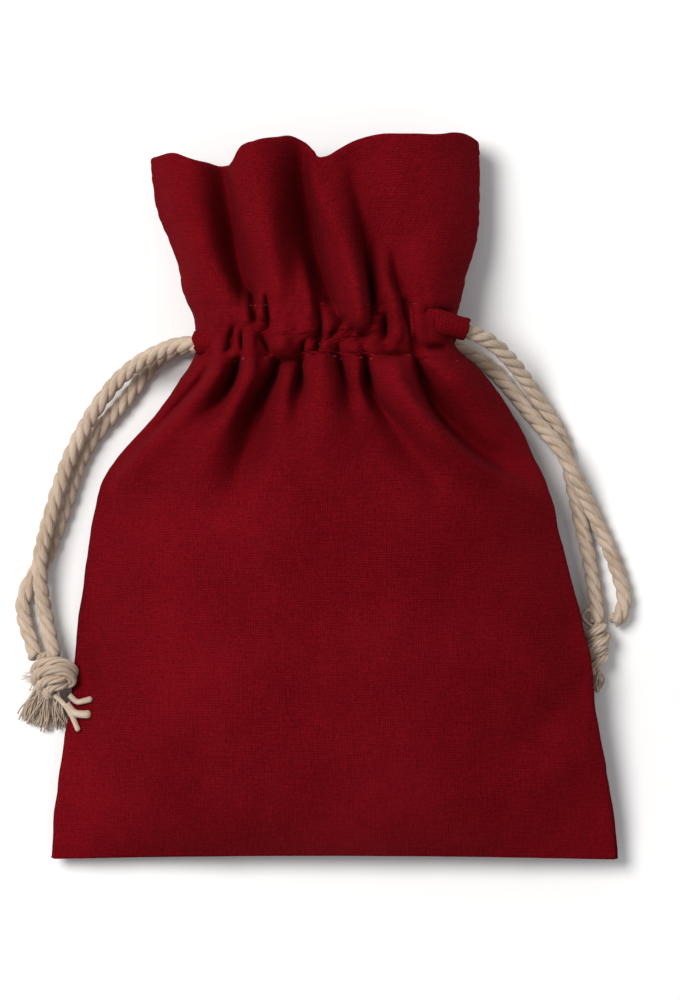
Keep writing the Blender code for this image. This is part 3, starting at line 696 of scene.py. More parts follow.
def tunnel_end(places, seed):
    """One end of the tunnel: an oval tube along the places, puckered a little, with an uneven edge."""
    line = smooth_curve(np.linspace(0, 1, len(places)), np.array(places), np.linspace(0, 1, END_RINGS))
    centre, half_wide, half_high = line[:, None, :3], line[:, None, 3:4], line[:, None, 4:5]
    along = unit(np.gradient(line[:, :3], axis=0))[:, None, :]
    side = unit(np.cross(along, np.array([0.0, 0.0, 1.0])))
    up = np.cross(side, along)
    angle = (TURN * np.arange(END_SIDES) / END_SIDES)[None, :, None]
    ring = np.linspace(0, 1, END_RINGS)[:, None, None]
    pucker = 1 + 0.045 * waves(3 * np.cos(angle), 3 * np.sin(angle) + 1.5 * ring, 2.2, seed)
    points = centre + pucker * (half_wide * np.cos(angle) * side + half_high * np.sin(angle) * up)
    points[-1] += 0.18 * waves(2 * np.cos(angle[0]), 2 * np.sin(angle[0]), 1.3, seed + 1) * along[-1]
    return points


def cloth_mesh():
    """Points, faces and corner UVs of the cloth with its tunnel ends. The UVs are distances in metres:
    along the weft from each panel's middle, and along the warp from the bottom fold."""
    rings, along, outer_count, _ = cloth_sheet()
    rows, columns = rings.shape[:2]
    faces = grid_faces(rows, columns, wrap=True)
    steps = np.linalg.norm(np.roll(rings, -1, axis=1) - rings, axis=2)
    run = np.concatenate([np.zeros((rows, 1)), np.cumsum(steps, axis=1)], axis=1)
    middle = FRONT_COLUMNS // 2
    from_front = run - run[:, middle : middle + 1]
    from_back = run - run[:, FRONT_COLUMNS + BACK_COLUMNS // 2][:, None] + 150
    column = np.arange(columns)
    is_front = column < FRONT_COLUMNS
    start = np.where(is_front, from_front[:, :-1], from_back[:, :-1]) * MM
    end = np.where(is_front, from_front[:, 1:], from_back[:, 1:]) * MM
    up = np.broadcast_to(along[:, None], start.shape) * MM
    corners = np.stack(
        [
            np.stack([start[:-1], up[:-1]], axis=-1),
            np.stack([end[:-1], up[:-1]], axis=-1),
            np.stack([end[1:], up[1:]], axis=-1),
            np.stack([start[1:], up[1:]], axis=-1),
        ],
        axis=2,
    )
    points = [rings.reshape(-1, 3)]
    uvs = [corners.reshape(-1, 2)]
    all_faces = faces.tolist()
    fold = bottom_fold_faces()
    all_faces += fold.tolist()
    uvs.append(rings.reshape(-1, 3)[fold.ravel()][:, :2] * MM)
    count = rows * columns
    for k, places in enumerate(TUNNEL_ENDS.values()):
        end_rings = tunnel_end(places, 20 + 2 * k)
        end_faces = grid_faces(END_RINGS, END_SIDES, wrap=True)
        if places[0][0] < 0:
            end_faces = end_faces[:, ::-1]
        around = (end_faces % END_SIDES) * 0.45
        down = (end_faces // END_SIDES) * 0.55
        all_faces += (end_faces + count).tolist()
        uvs.append(np.stack([around, down], axis=-1).reshape(-1, 2) * MM + 0.3 * (k + 1))
        points.append(end_rings.reshape(-1, 3))
        count += END_RINGS * END_SIDES
    return np.concatenate(points), all_faces, np.concatenate(uvs)


def front_place(x, y):
    """The place on the front of the body straight over x and y, and the outward normal there."""
    left, right = side_lines(np.array([float(y)]))[:2]
    share = (x - left) / (right - left)
    near = panel(np.array([share[0], share[0] + 0.004, share[0]]), np.array([y, y, y + 0.3]), True)
    return near[0], unit(np.cross(near[1] - near[0], near[2] - near[0]))


# ---------------------------------------------------------------------------------------------------
# Cords, knots, tassels and stitches
# ---------------------------------------------------------------------------------------------------

RING_LEFT = NECK_LEFT + 8.2
RING_RIGHT = NECK_RIGHT - 8.2
TURN_RADIUS = RING + 0.05
PLY_ORBIT = 0.64
PLY_RADIUS = 0.78
LAY_LENGTH = 8.0  # of one full turn of the plies
ROPE_STEP = 0.45


def twisted(path, orbit, radius, lay, reference, sides=10, plies=STRANDS, seed=1):
    """A laid cord along the path: each ply's centre is path + orbit (side cos a + up sin a), where a grows
    by a full turn over one lay length and starts evenly spread. The plies vary a little in thickness."""
    along = unit(np.gradient(path, axis=0))
    side = unit(np.cross(along, np.asarray(reference, float)))
    up = np.cross(side, along)
    run = np.concatenate([[0.0], np.cumsum(np.linalg.norm(np.diff(path, axis=0), axis=1))])
    uneven = 0.25 * waves(run, 0 * run, 9.0, seed)
    start = TURN * np.arange(plies) / plies
    angle = (TURN * run / lay + uneven)[None, :, None] + start[:, None, None]
    centres = path + orbit * (np.cos(angle) * side + np.sin(angle) * up)
    ply = np.arange(plies)[:, None] * 40
    radii = radius * (1 + 0.045 * waves(run + ply, 0 * run, 5.0, seed + 1))
    return tubes(centres, radii, sides, reference)


def joined(parts):
    """Several (points, faces, uvs) in one."""
    points, faces, uvs, count = [], [], [], 0
    for part_points, part_faces, part_uvs in parts:
        points.append(part_points)
        faces += [[corner + count for corner in face] for face in part_faces]
        uvs.append(part_uvs)
        count += len(part_points)
    return np.concatenate(points), faces, np.concatenate(uvs)


def tunnel_run(front_exit, back_exit, y, near_x, far_x, side):
    """A cord's hidden way: along the front tunnel, half round the far side and along the back one."""
    angle = math.pi / 2 - math.pi * np.arange(9) / 8
    turn = np.stack(
        [
            far_x - side * TURN_RADIUS * np.cos(angle),
            np.full_like(angle, y),
            NECK_Z + TURN_RADIUS * np.sin(angle),
        ],
        axis=1,
    )
    first = [front_exit, (near_x, y, NECK_Z + RING)]
    last = [(near_x, y, NECK_Z - RING), back_exit]
    return smooth_route(np.concatenate([first, turn, last]), ROPE_STEP)


def placed(line, centre, scale, turn=0.0):
    """A line about its own middle, scaled, turned about Z and moved to the centre."""
    spun = np.array(line, float) * scale
    c, s = math.cos(turn), math.sin(turn)
    spun = np.stack([c * spun[:, 0] - s * spun[:, 1], s * spun[:, 0] + c * spun[:, 1], spun[:, 2]], axis=1)
    return spun + centre


def tied(line, offset, orbit, radius, lay, plies, seed):
    """A pair of cords side by side along the line of a knot, pulled thin by the tying."""
    path = smooth_route(line, 0.3)
    along = unit(np.gradient(path, axis=0))
    outwards = unit(path - path.mean(axis=0))
    beside = unit(np.cross(along, outwards))
    parts = []
    for k, shift in enumerate((-offset, offset)):
        parts.append(twisted(path + shift * beside, orbit, radius, lay, (0.3, 0.2, 0.93), 8, plies, seed + k))
    return joined(parts)


def wrap_line(centre):
    """The line of a cord wound down round the knot: an ellipse in x and z that sinks along -Y, a little
    narrower at both ends."""
    t = np.linspace(0, 1, 34)
    angle = TURN * 3.6 * t + 0.6
    full = 0.62 + 0.38 * np.sin(math.pi * np.clip(t * 1.15 + 0.1, 0, 1))
    x = centre[0] + 1.75 * full * np.cos(angle)
    z = centre[2] + 1.55 * full * np.sin(angle)
    y = centre[1] + 4.0 - 7.6 * t + 0.5 * np.cos(angle)
    return np.stack([x, y, z], axis=1)


# A small loop of yarn that has slipped out beside the right knot.
SMALL_LOOP = [(46.4, -23.2, 3.6), (44.8, -22.2, 3.7), (44.1, -20.9, 3.5), (45.0, -20.0, 3.2), (46.4, -20.9, 2.9)]


def yarn_lines(roots, ends, rings, sway, seed, rest=0.25):
    """Lines of loose yarn from roots to ends: a straight line plus sideways waves that grow towards the
    end. None goes under the height rest."""
    rng = np.random.default_rng(seed)
    roots, ends = np.asarray(roots, float), np.asarray(ends, float)
    count = len(roots)
    t = np.linspace(0, 1, rings)[None, :, None]
    lines = roots[:, None] * (1 - t) + ends[:, None] * t
    side = unit(np.cross(ends - roots, [0.0, 0.0, 1.0]))[:, None]
    bend = rng.normal(0, 1, (count, 1, 1)) * np.sin(math.pi * t) + rng.normal(0, 0.5, (count, 1, 1)) * np.sin(
        TURN * t + rng.uniform(0, TURN, (count, 1, 1))
    )
    lines = lines + side * bend * sway
    lines[..., 2] += 0.4 * sway * (rng.normal(0, 1, (count, 1)) * np.sin(TURN * t[..., 0]))
    lines[..., 2] = np.maximum(lines[..., 2], rest)
    return lines


def tassel(root, spread_root, direction, fan, lengths, count, end_z, seed, radius=(0.13, 0.22)):
    """Loose yarns that fan out from the knot: each starts near the root, turns by up to fan from the
    direction, and sinks to about end_z."""
    rng = np.random.default_rng(seed)
    share = rng.uniform(-1, 1, count)
    across = np.array([-direction[1], direction[0], 0.0])
    high = rng.uniform(-1, 1, count)
    roots = np.asarray(root) + share[:, None] * spread_root * across + high[:, None] * [0, 0, 0.8 * spread_root]
    turn = share * fan + rng.normal(0, 0.06, count)
    heading = np.cos(turn)[:, None] * np.array([direction[0], direction[1], 0.0]) + np.sin(turn)[:, None] * across
    length = rng.uniform(*lengths, count) * (1 - 0.15 * np.abs(share))
    ends = roots + heading * length[:, None]
    ends[:, 2] = end_z + (high + 1) * 0.5 * rng.uniform(0.2, 1.6, count)
    lines = yarn_lines(roots, ends, 12, 0.35, seed + 1)
    size = rng.uniform(*radius, count)[:, None] * np.linspace(1.15, 0.75, 12)[None, :]
    return tubes(lines, size, 6, (0.1, 0.2, 0.97))


def round_ended(points, radius):
    """One thick yarn along the points with a rounded, slightly swollen end."""
    path = smooth_route(points, 0.15)
    t = np.linspace(0, 1, len(path))
    left = line_length(path) * (1 - t)
    size = radius * (1 + 0.12 * t) * np.sqrt(np.clip(1 - (1 - np.minimum(left / radius, 1)) ** 2, 0.02, 1))
    return tubes(path[None], size[None], 12, (0.1, 0.2, 0.97))


STITCH_SPACING = 3.0
STITCH_LENGTH = 2.3
THREAD_RADIUS = 0.14


def stitch_row(y, is_front, seed):
    """Stitches along the neck at y: each is a short thread that follows the cloth and dips into it at
    both ends."""
    fine = np.linspace(0.02, 0.98, 1500)
    row_y = y + stitch_wander(panel(fine, np.full(1500, y), is_front)[:, 0])
    places = panel(fine, row_y, is_front)
    lifted = panel(fine, row_y + 0.2, is_front)
    around = np.gradient(places, axis=0)
    normal = unit(np.cross(around, lifted - places)) * (1 if is_front else -1)
    run = np.concatenate([[0.0], np.cumsum(np.linalg.norm(np.diff(places, axis=0), axis=1))])
    starts = np.arange(1.0, run[-1] - STITCH_LENGTH, STITCH_SPACING)
    rng = np.random.default_rng(seed)
    starts = starts + rng.uniform(-0.2, 0.2, len(starts))
    at = starts[:, None] + STITCH_LENGTH * np.linspace(0, 1, 7)[None, :]
    centre = np.stack([np.interp(at, run, places[:, k]) for k in range(3)], axis=-1)
    facing = unit(np.stack([np.interp(at, run, normal[:, k]) for k in range(3)], axis=-1))
    rise = np.array([-0.3, 0.12, 0.24, 0.27, 0.24, 0.12, -0.3])[None, :, None]
    sunk = rng.uniform(-0.42, 0.0, (len(starts), 1, 1))
    centre = centre + facing * (rise + sunk)
    centre[..., 1] += rng.uniform(-0.12, 0.12, (len(starts), 1))
    return tubes(centre, np.full(centre.shape[:2], THREAD_RADIUS), 6, (0.0, 1.0, 0.0))


# ---------------------------------------------------------------------------------------------------
# Finishes
# ---------------------------------------------------------------------------------------------------


class Nodes:
    """Short calls for building a node tree."""

    def __init__(self, tree):
        self.tree = tree

    def add(self, kind, links=(), **values):
        """A node of the kind, its settings, and the sockets that come into it by index or name."""
        node = self.tree.nodes.new(kind)
        for name, value in values.items():
            setattr(node, name, value)
        for socket, source in dict(links).items():
            target = node.inputs[socket]
            if isinstance(source, bpy.types.NodeSocket):
                self.tree.links.new(source, target)
            else:
                target.default_value = source
        return node

    def math(self, operation, *inputs):
        return self.add("ShaderNodeMath", enumerate(inputs), operation=operation).outputs[0]

    def vector(self, operation, *inputs):
        return self.add("ShaderNodeVectorMath", enumerate(inputs), operation=operation).outputs[0]

    def noise(self, vector, scale, detail=2.0, roughness=0.5):
        links = {"Vector": vector, "Scale": scale, "Detail": detail, "Roughness": roughness}
        return self.add("ShaderNodeTexNoise", links).outputs["Fac"]

    def remap(self, value, low, high, out_low=0.0, out_high=1.0):
        links = {0: value, 1: low, 2: high, 3: out_low, 4: out_high}
        return self.add("ShaderNodeMapRange", links, interpolation_type="SMOOTHSTEP").outputs[0]

    def mix_colour(self, factor, first, second):
        node = self.tree.nodes.new("ShaderNodeMix")
        node.data_type = "RGBA"
        for socket, source in ((node.inputs[0], factor), (node.inputs[6], first), (node.inputs[7], second)):
            if isinstance(source, bpy.types.NodeSocket):
                self.tree.links.new(source, socket)
            else:
                socket.default_value = source
        return node.outputs[2]


def new_group(name, inputs, outputs):
    """An empty shader node group with those sockets: (name, socket type, default) and (name, type)."""
    old = bpy.data.node_groups.get(name)
    if old:
        bpy.data.node_groups.remove(old)
    group = bpy.data.node_groups.new(name, "ShaderNodeTree")
    for socket_name, kind, default in inputs:
        socket = group.interface.new_socket(socket_name, in_out="INPUT", socket_type=kind)
        if default is not None:
            socket.default_value = default
    for socket_name, kind in outputs:
        group.interface.new_socket(socket_name, in_out="OUTPUT", socket_type=kind)
    nodes = Nodes(group)
    source = nodes.add("NodeGroupInput")
    result = nodes.add("NodeGroupOutput")
    return nodes, source.outputs, result.inputs


def weave_group():
    """Plain weave on a coordinate in metres. Height: over and under lobes, |sin x sin y|, plus slubs.
    Tone: each thread's own shade, drawn out along the thread, with painted shade that darkens the low places
    of the weave. Fleck: rare light spots. Speck: rare dark spots."""
    nodes, given, out = new_group(
        "Woven Cloth",
        [
            ("Vector", "NodeSocketVector", None),
            ("Threads Per Metre", "NodeSocketFloat", 2300.0),
            ("Slub", "NodeSocketFloat", 0.5),
        ],
        [
            ("Height", "NodeSocketFloat"),
            ("Tone", "NodeSocketFloat"),
            ("Fleck", "NodeSocketFloat"),
            ("Speck", "NodeSocketFloat"),
        ],
    )
    drift = nodes.add("ShaderNodeTexNoise", {"Vector": given["Vector"], "Scale": 160.0, "Detail": 1.0})
    drift = nodes.vector("SUBTRACT", drift.outputs["Color"], (0.5, 0.5, 0.5))
    drift = nodes.add(
        "ShaderNodeVectorMath", {0: drift, 1: (0.0011, 0.0011, 0.0), 2: given["Vector"]}, operation="MULTIPLY_ADD"
    ).outputs[0]
    scaled = nodes.add("ShaderNodeVectorMath", {0: drift, "Scale": given["Threads Per Metre"]}, operation="SCALE")
    parts = nodes.add("ShaderNodeSeparateXYZ", {0: scaled.outputs[0]}).outputs
    wave_x = nodes.math("SINE", nodes.math("MULTIPLY", parts[0], math.pi))
    wave_y = nodes.math("SINE", nodes.math("MULTIPLY", parts[1], math.pi))
    lobe = nodes.math("MULTIPLY", wave_x, wave_y)
    height = nodes.math("POWER", nodes.math("ABSOLUTE", lobe), 0.6)
    weft = nodes.noise(nodes.vector("MULTIPLY", scaled.outputs[0], (0.13, 0.9, 1.0)), 1.0, 3.0, 0.6)
    warp = nodes.noise(nodes.vector("MULTIPLY", scaled.outputs[0], (0.9, 0.13, 1.0)), 1.0, 3.0, 0.6)
    over = nodes.remap(lobe, -0.3, 0.3)
    thread = nodes.math("ADD", weft, nodes.math("MULTIPLY", over, nodes.math("SUBTRACT", warp, weft)))
    swell = nodes.math("MULTIPLY", nodes.math("SUBTRACT", thread, 0.5), given["Slub"])
    nodes.tree.links.new(nodes.math("ADD", height, nodes.math("MULTIPLY", swell, 2.0)), out["Height"])
    fine = nodes.noise(scaled.outputs[0], 0.8, 2.0)
    tone = nodes.math("ADD", nodes.math("MULTIPLY", thread, 0.55), nodes.math("MULTIPLY", fine, 0.45))
    # Painted shade: the tone is lowered where the weave's height is low, between the over and under lobes.
    shade = nodes.math("MULTIPLY", nodes.math("SUBTRACT", height, 0.6), 0.3)
    nodes.tree.links.new(nodes.math("ADD", tone, shade), out["Tone"])
    spots = nodes.noise(nodes.vector("MULTIPLY", scaled.outputs[0], (0.22, 0.5, 1.0)), 1.0, 1.0)
    nodes.tree.links.new(nodes.remap(spots, 0.80, 0.86), out["Fleck"])
    nodes.tree.links.new(nodes.remap(spots, 0.21, 0.15), out["Speck"])
    return nodes.tree


def fibre_group():
    """Spun fibre on a tube's own coordinate: share of the way round, and metres along. Height and Tone:
    fine streaks that follow the yarn at a small slant. The Tone mostly follows the Height, which paints
    shade into the low streaks."""
    nodes, given, out = new_group(
        "Spun Fibre",
        [
            ("Vector", "NodeSocketVector", None),
            ("Slant", "NodeSocketFloat", 60.0),
            ("Streaks", "NodeSocketFloat", 9.0),
        ],
        [("Height", "NodeSocketFloat"), ("Tone", "NodeSocketFloat")],
    )
    parts = nodes.add("ShaderNodeSeparateXYZ", {0: given["Vector"]}).outputs
    turned = nodes.math("ADD", parts[0], nodes.math("MULTIPLY", parts[1], given["Slant"]))
    angle = nodes.math("MULTIPLY", turned, TURN)
    ring_x = nodes.math("MULTIPLY", nodes.math("COSINE", angle), nodes.math("DIVIDE", given["Streaks"], 3.0))
    ring_y = nodes.math("MULTIPLY", nodes.math("SINE", angle), nodes.math("DIVIDE", given["Streaks"], 3.0))
    length = nodes.math("MULTIPLY", parts[1], 420.0)
    place = nodes.add("ShaderNodeCombineXYZ", {0: ring_x, 1: ring_y, 2: length}).outputs[0]
    streak = nodes.noise(place, 1.0, 4.0, 0.65)
    clump = nodes.noise(place, 0.35, 1.0)
    nodes.tree.links.new(streak, out["Height"])
    # Painted shade: the tone is mostly the streaks' height, so the low streaks come out darker.
    both = nodes.math("ADD", nodes.math("MULTIPLY", streak, 0.7), nodes.math("MULTIPLY", clump, 0.3))
    nodes.tree.links.new(both, out["Tone"])
    return nodes.tree


def new_material(name):
    """A material with an empty Principled shader. Returns the material, its nodes and the shader."""
    old = bpy.data.materials.get(name)
    if old:
        bpy.data.materials.remove(old)
    material = bpy.data.materials.new(name)
    material.use_nodes = True
    nodes = Nodes(material.node_tree)
    shader = material.node_tree.nodes["Principled BSDF"]
    return material, nodes, shader


def shade_of(colour, factor):
    return (*[min(1.0, c * f) for c, f in zip(colour, factor)], 1.0)


def cotton_cloth(colour):
    """The dyed cotton: plain weave with slubs, faint mottling of the dye, painted shade in the low places of the
    weave, and rare light and dark specks.
    """
    material, nodes, shader = new_material("Red Cotton Cloth")
    coordinates = nodes.add("ShaderNodeTexCoord").outputs
    weave = nodes.add("ShaderNodeGroup")
    weave.node_tree = weave_group()
    nodes.tree.links.new(coordinates["UV"], weave.inputs["Vector"])
    cloudy = nodes.noise(coordinates["Object"], 55.0, 2.0)
    level = nodes.math("ADD", weave.outputs["Tone"], nodes.math("MULTIPLY", cloudy, 0.35))
    tone = nodes.remap(level, 0.42, 0.95)
    # The dark end of this mix shows both the threads' own darker tone and painted shade where the weave is low.
    dyed = nodes.mix_colour(tone, shade_of(colour, (0.66, 0.55, 0.55)), shade_of(colour, (1.38, 1.6, 1.5)))
    dyed = nodes.mix_colour(
        nodes.math("MULTIPLY", weave.outputs["Fleck"], 0.55), dyed, shade_of(colour, (2.2, 9.0, 6.0))
    )
    dyed = nodes.mix_colour(
        nodes.math("MULTIPLY", weave.outputs["Speck"], 0.6), dyed, shade_of(colour, (0.4, 0.5, 0.5))
    )
    nodes.tree.links.new(dyed, shader.inputs["Base Color"])
    nodes.tree.links.new(nodes.remap(tone, 0.0, 1.0, 0.96, 0.86), shader.inputs["Roughness"])
    bump = nodes.add(
        "ShaderNodeBump", {"Height": weave.outputs["Height"], "Strength": 0.35, "Distance": 0.00012}
    )
    nodes.tree.links.new(bump.outputs[0], shader.inputs["Normal"])
    shader.inputs["Specular IOR Level"].default_value = 0.02
    shader.inputs["Sheen Weight"].default_value = 0.02
    shader.inputs["Sheen Roughness"].default_value = 0.6
    shader.inputs["Sheen Tint"].default_value = (0.9, 0.12, 0.16, 1.0)
    return material


def yarn(name, colour, slant, streaks, strength):
    """Undyed spun cotton: light and dark fibres along each yarn, and painted shade that makes the low streaks
    darker and warmer.
    """
    material, nodes, shader = new_material(name)
    coordinates = nodes.add("ShaderNodeTexCoord").outputs
    fibre = nodes.add("ShaderNodeGroup")
    fibre.node_tree = bpy.data.node_groups.get("Spun Fibre") or fibre_group()
    nodes.tree.links.new(coordinates["UV"], fibre.inputs["Vector"])
    fibre.inputs["Slant"].default_value = slant
    fibre.inputs["Streaks"].default_value = streaks
    cloudy = nodes.noise(coordinates["Object"], 240.0, 2.0)
    level = nodes.math("ADD", fibre.outputs["Tone"], nodes.math("MULTIPLY", cloudy, 0.4))
    tone = nodes.remap(level, 0.45, 0.95)
    # The darker, warmer end of this mix is partly the fibres' own tone and partly painted shade in the low
    # streaks.
    spun = nodes.mix_colour(tone, shade_of(colour, (0.72, 0.66, 0.58)), shade_of(colour, (1.2, 1.22, 1.24)))
    nodes.tree.links.new(spun, shader.inputs["Base Color"])
    nodes.tree.links.new(nodes.remap(tone, 0.0, 1.0, 0.98, 0.88), shader.inputs["Roughness"])
    bump = nodes.add(
        "ShaderNodeBump", {"Height": fibre.outputs["Height"], "Strength": strength, "Distance": 0.0002}
    )
    nodes.tree.links.new(bump.outputs[0], shader.inputs["Normal"])
    shader.inputs["Specular IOR Level"].default_value = 0.1
    shader.inputs["Sheen Weight"].default_value = 0.2
    shader.inputs["Sheen Roughness"].default_value = 0.5
    return material


# ---------------------------------------------------------------------------------------------------
# Settings, operators and the panel
# ---------------------------------------------------------------------------------------------------


class PouchSettings(bpy.types.PropertyGroup):
    """Sizes and colours of the pouch."""

    cloth_thickness: FloatProperty(
        name="Cloth Thickness",
        description="How thick the cotton is",
        default=0.0005,
        min=0.0002,
        max=0.001,
        precision=5,
        subtype="DISTANCE",
        unit="LENGTH",
    )
    cloth_colour: FloatVectorProperty(
        name="Cloth Colour",
        description="Dye of the cotton",
        default=(0.122, 0.0020, 0.0048),
        min=0.0,
        max=1.0,
        size=3,
        subtype="COLOR",
    )
    cord_colour: FloatVectorProperty(
        name="Cord Colour",
        description="Colour of the undyed cords",
        default=(0.475, 0.375, 0.295),
        min=0.0,
        max=1.0,
        size=3,
        subtype="COLOR",
    )
    thread_colour: FloatVectorProperty(
        name="Thread Colour",
        description="Colour of the sewing thread",
        default=(0.22, 0.014, 0.010),
        min=0.0,
        max=1.0,
        size=3,
        subtype="COLOR",
    )
    lay_length: FloatProperty(
        name="Lay Length",
        description="Length over which the plies of a cord make one turn",
        default=LAY_LENGTH * MM,
        min=0.004,
        max=0.02,
        precision=4,
        subtype="DISTANCE",
        unit="LENGTH",
    )
    tassel_yarns: IntProperty(
        name="Tassel Yarns",
        description="How many loose yarns the left tassel has",
        default=110,
        min=12,
        max=150,
    )
    light_power: FloatProperty(
        name="Light Power",
        description="Power of the main light",
        default=19.0,
        min=0.0,
        max=100.0,
        subtype="POWER",
        unit="POWER",
    )


def as_cord_part(piece, side):
    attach(piece, BODY)
    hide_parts(f"{side}_cord")


def cord_finish(settings):
    made = bpy.data.materials.get("Undyed Cord")
    return made or yarn("Undyed Cord", settings.cord_colour, 55.0, 9.0, 0.55)


class POUCH_OT_stage(bpy.types.Operator):
    """Add the floor, the soft light and the camera that looks straight down"""

    bl_idname = "pouch.stage"
    bl_label = "Stage"

    def execute(self, context):
        scene = context.scene
        floor, nodes, shader = new_material("Pale Floor")
        grain = nodes.noise(nodes.add("ShaderNodeTexCoord").outputs["Object"], 3.0, 2.0)
        pale = nodes.mix_colour(grain, (0.86, 0.86, 0.86, 1.0), (0.88, 0.88, 0.88, 1.0))
        nodes.tree.links.new(pale, shader.inputs["Base Color"])
        shader.inputs["Roughness"].default_value = 0.9
        shader.inputs["Specular IOR Level"].default_value = 0.1
        corners = [(-3000, -3000, -0.05), (3000, -3000, -0.05), (3000, 3000, -0.05), (-3000, 3000, -0.05)]
        plane = mesh_piece("floor", corners, [(0, 1, 2, 3)], floor, smooth=False)

        def add_light(name, place, size, power, colour):
            light = bpy.data.lights.new(name, "AREA")
            light.shape = "DISK"
            light.size = size
            light.energy = power
            light.color = colour
            lamp = bpy.data.objects.new(name, light)
            lamp.location = place
            towards = -np.array(place) / np.linalg.norm(place)
            lamp.rotation_euler = (
                math.acos(-towards[2]),
                0.0,
                math.atan2(towards[1], towards[0]) - math.pi / 2,
            )
            scene.collection.objects.link(lamp)

        add_light("main_light", (-0.62, 0.40, 1.15), 0.70, scene.pouch.light_power, (1.0, 0.98, 0.96))
        world = bpy.data.worlds.new("soft_room")
        world.use_nodes = True
        world.node_tree.nodes["Background"].inputs["Color"].default_value = (0.97, 0.98, 1.0, 1.0)
        world.node_tree.nodes["Background"].inputs["Strength"].default_value = 0.46
        scene.world = world

        lens = bpy.data.cameras.new("camera")
        lens.lens = 200.0
        lens.sensor_width = 36.0
        lens.sensor_fit = "AUTO"
        lens.clip_start = 0.05
        lens.clip_end = 20.0
        camera = bpy.data.objects.new("camera", lens)
        camera.location = (0.00106, -0.00044, 0.989)
        scene.collection.objects.link(camera)
        scene.camera = camera
        scene.view_settings.view_transform = "Standard"
        scene.view_settings.look = "None"
        return {"FINISHED"}


class POUCH_OT_cords(bpy.types.Operator):
    """Add the two drawcords: their free ends and their way through the tunnel"""

    bl_idname = "pouch.cords"
    bl_label = "Drawcords"

    def execute(self, context):
        settings = context.scene.pouch
        finish = cord_finish(settings)
        lay = settings.lay_length / MM
        routes = {
            "left": (LEFT_FRONT_END, LEFT_BACK_END, RING_LEFT, RING_RIGHT, -1),
            "right": (RIGHT_FRONT_END, RIGHT_BACK_END, RING_RIGHT, RING_LEFT, 1),
        }
        for number, (side, (front, back, near_x, far_x, way)) in enumerate(routes.items()):
            for k, (part, ends) in enumerate((("front", front), ("back", back))):
                path = smooth_route(ends, ROPE_STEP)
                shape = twisted(path, PLY_ORBIT, PLY_RADIUS, lay, (0, 0, 1), seed=11 + 4 * number + 2 * k)
                cord = mesh_piece(f"{side}_cord_{part}", shape[0], shape[1], finish, shape[2])
                as_cord_part(cord, side)
            path = tunnel_run(front[0], back[0], CORD_LINE[side], near_x, far_x, way)
            shape = twisted(path, PLY_ORBIT, PLY_RADIUS, lay, (0, 1, 0), seed=31 + number)
            as_cord_part(mesh_piece(f"{side}_cord_in_tunnel", shape[0], shape[1], finish, shape[2]), side)
        return {"FINISHED"}


class POUCH_OT_knots(bpy.types.Operator):
    """Add the knots that hold each cord's ends together, and their frayed tails"""

    bl_idname = "pouch.knots"
    bl_label = "Knots and Tassels"

    def execute(self, context):
        settings = context.scene.pouch
        finish = cord_finish(settings)
        loose = yarn("Loose Yarn", settings.cord_colour, 20.0, 5.0, 0.4)

        left_line = placed(KNOT_LINE, (-49.6, -31.2, 4.7), (1.02, 0.84, 1.0))
        shape = tied(left_line, 0.86, 0.55, 0.40, 13.0, 5, 51)
        knot = mesh_piece("left_knot_wrap", shape[0], shape[1], finish, shape[2])
        shape = tied(wrap_line((46.5, -27.0, 3.3)), 0.62, 0.38, 0.33, 9.0, 4, 61)
        right_knot = mesh_piece("right_knot_wrap", shape[0], shape[1], finish, shape[2])

        ends = []
        for line in (
            [(-46.9, -35.0), (-45.4, -36.2), (-44.2, -36.0), (-42.8, -35.6)],
            [(-47.4, -36.6), (-45.8, -38.2), (-44.4, -38.4), (-43.1, -38.3)],
            [(-49.6, -35.0), (-48.2, -36.2), (-46.8, -38.0), (-45.2, -41.4)],
        ):
            lifted = []
            for x, y in line:
                place, _ = front_place(max(x, -45.2), y)
                lifted.append((x, y, place[2] + 0.95))
            ends.append(lifted)
        tails = [
            tassel((-50.6, -33.6, 3.9), 1.9, (-0.14, -0.99), 0.36, (6.0, 8.4), settings.tassel_yarns, 0.6, 71),
            tassel((-52.6, -31.6, 3.0), 0.8, (-0.75, -0.66), 0.55, (1.8, 3.6), 16, 0.8, 75, (0.05, 0.09)),
            round_ended(ends[0], 0.50),
            round_ended(ends[1], 0.66),
            round_ended(ends[2], 0.44),
        ]
        shape = joined(tails)
        tail = mesh_piece("left_tassel", shape[0], shape[1], loose, shape[2])
        loop = smooth_route(SMALL_LOOP, 0.2)
        tails = [
            tassel((46.3, -30.6, 3.2), 0.8, (-0.06, -1.0), 0.16, (3.2, 4.8), 26, 1.2, 81),
            tubes(loop[None], np.full((1, len(loop)), 0.36), 8, (0.1, 0.2, 0.97)),
        ]
        shape = joined(tails)
        right_tail = mesh_piece("right_tassel", shape[0], shape[1], loose, shape[2])
        for piece, node in (
            (knot, "left_knot"), (tail, "left_knot"), (right_knot, "right_knot"), (right_tail, "right_knot"),
        ):
            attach(piece, BODY)
            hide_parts(node)
        return {"FINISHED"}


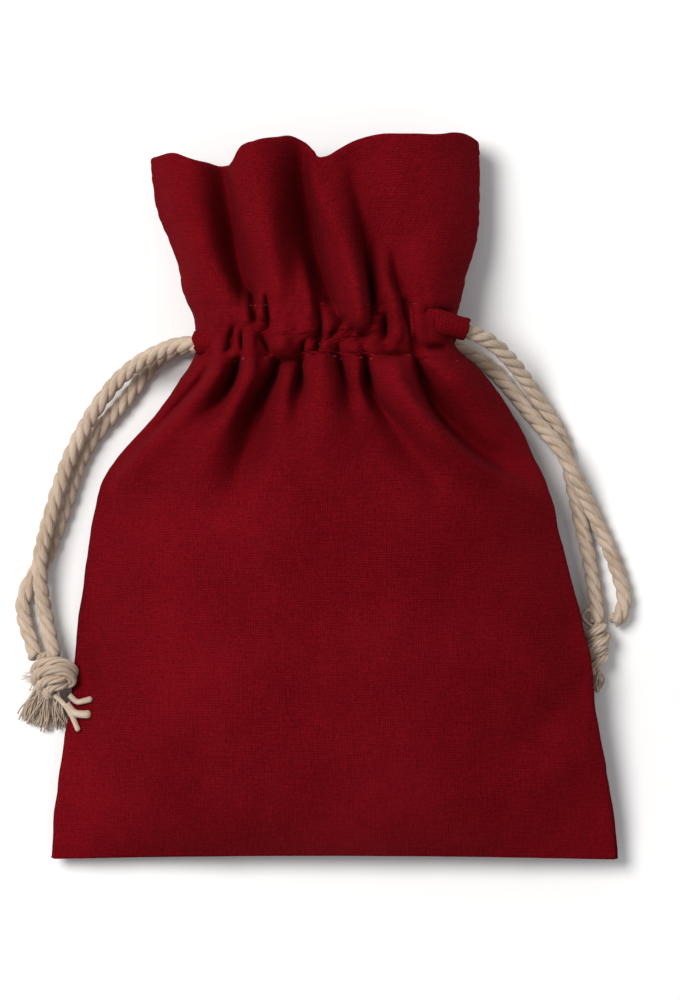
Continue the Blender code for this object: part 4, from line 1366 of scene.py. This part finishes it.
class POUCH_OT_cloth(bpy.types.Operator):
    """Add the cotton pouch: both panels, the turned-in top and the ends of the cord tunnel"""

    bl_idname = "pouch.cloth"
    bl_label = "Cloth"

    def execute(self, context):
        settings = context.scene.pouch
        points, faces, uvs = cloth_mesh()
        finish = cotton_cloth(settings.cloth_colour)
        cloth = mesh_piece("pouch_body", points, faces, finish, uvs)
        wall = cloth.modifiers.new("wall", "SOLIDIFY")
        wall.thickness = settings.cloth_thickness
        wall.offset = 0.0
        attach(cloth, BODY)
        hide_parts("pouch_cloth")
        return {"FINISHED"}


class POUCH_OT_stitches(bpy.types.Operator):
    """Add the two rows of stitches that make the tunnel"""

    bl_idname = "pouch.stitches"
    bl_label = "Tunnel Stitches"

    def execute(self, context):
        thread = yarn("Sewing Thread", context.scene.pouch.thread_colour, 400.0, 4.0, 0.3)
        rows = []
        for k, y in enumerate((LOWER_STITCHES_Y, UPPER_STITCHES_Y)):
            rows.append(stitch_row(y, True, 91 + k))
            rows.append(stitch_row(y, False, 95 + k))
        shape = joined(rows)
        stitches = mesh_piece("neck_stitches", shape[0], shape[1], thread, shape[2])
        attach(stitches, BODY)
        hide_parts("pouch_cloth")
        return {"FINISHED"}


class POUCH_PT_panel(bpy.types.Panel):
    """Lists the pouch's settings and the steps that make it"""

    bl_idname = "POUCH_PT_panel"
    bl_label = "Drawstring Pouch"
    bl_space_type = "VIEW_3D"
    bl_region_type = "UI"
    bl_category = "Pouch"

    def draw(self, context):
        layout = self.layout
        settings = context.scene.pouch
        column = layout.column(align=True)
        for name in PouchSettings.__annotations__:
            column.prop(settings, name)
        column = layout.column(align=True)
        for operator in OPERATORS:
            column.operator(operator.bl_idname)


OPERATORS = (POUCH_OT_stage, POUCH_OT_cords, POUCH_OT_knots, POUCH_OT_cloth, POUCH_OT_stitches)
CLASSES = (PouchSettings, *OPERATORS, POUCH_PT_panel)


def register():
    for made in CLASSES:
        bpy.utils.register_class(made)
    bpy.types.Scene.pouch = PointerProperty(type=PouchSettings)


def unregister():
    del bpy.types.Scene.pouch
    for made in reversed(CLASSES):
        bpy.utils.unregister_class(made)


def main():
    register()
    bpy.ops.pouch.stage()
    bpy.ops.pouch.cords()
    bpy.ops.pouch.knots()
    bpy.ops.pouch.cloth()
    bpy.ops.pouch.stitches()


if __name__ == "__main__":
    main()
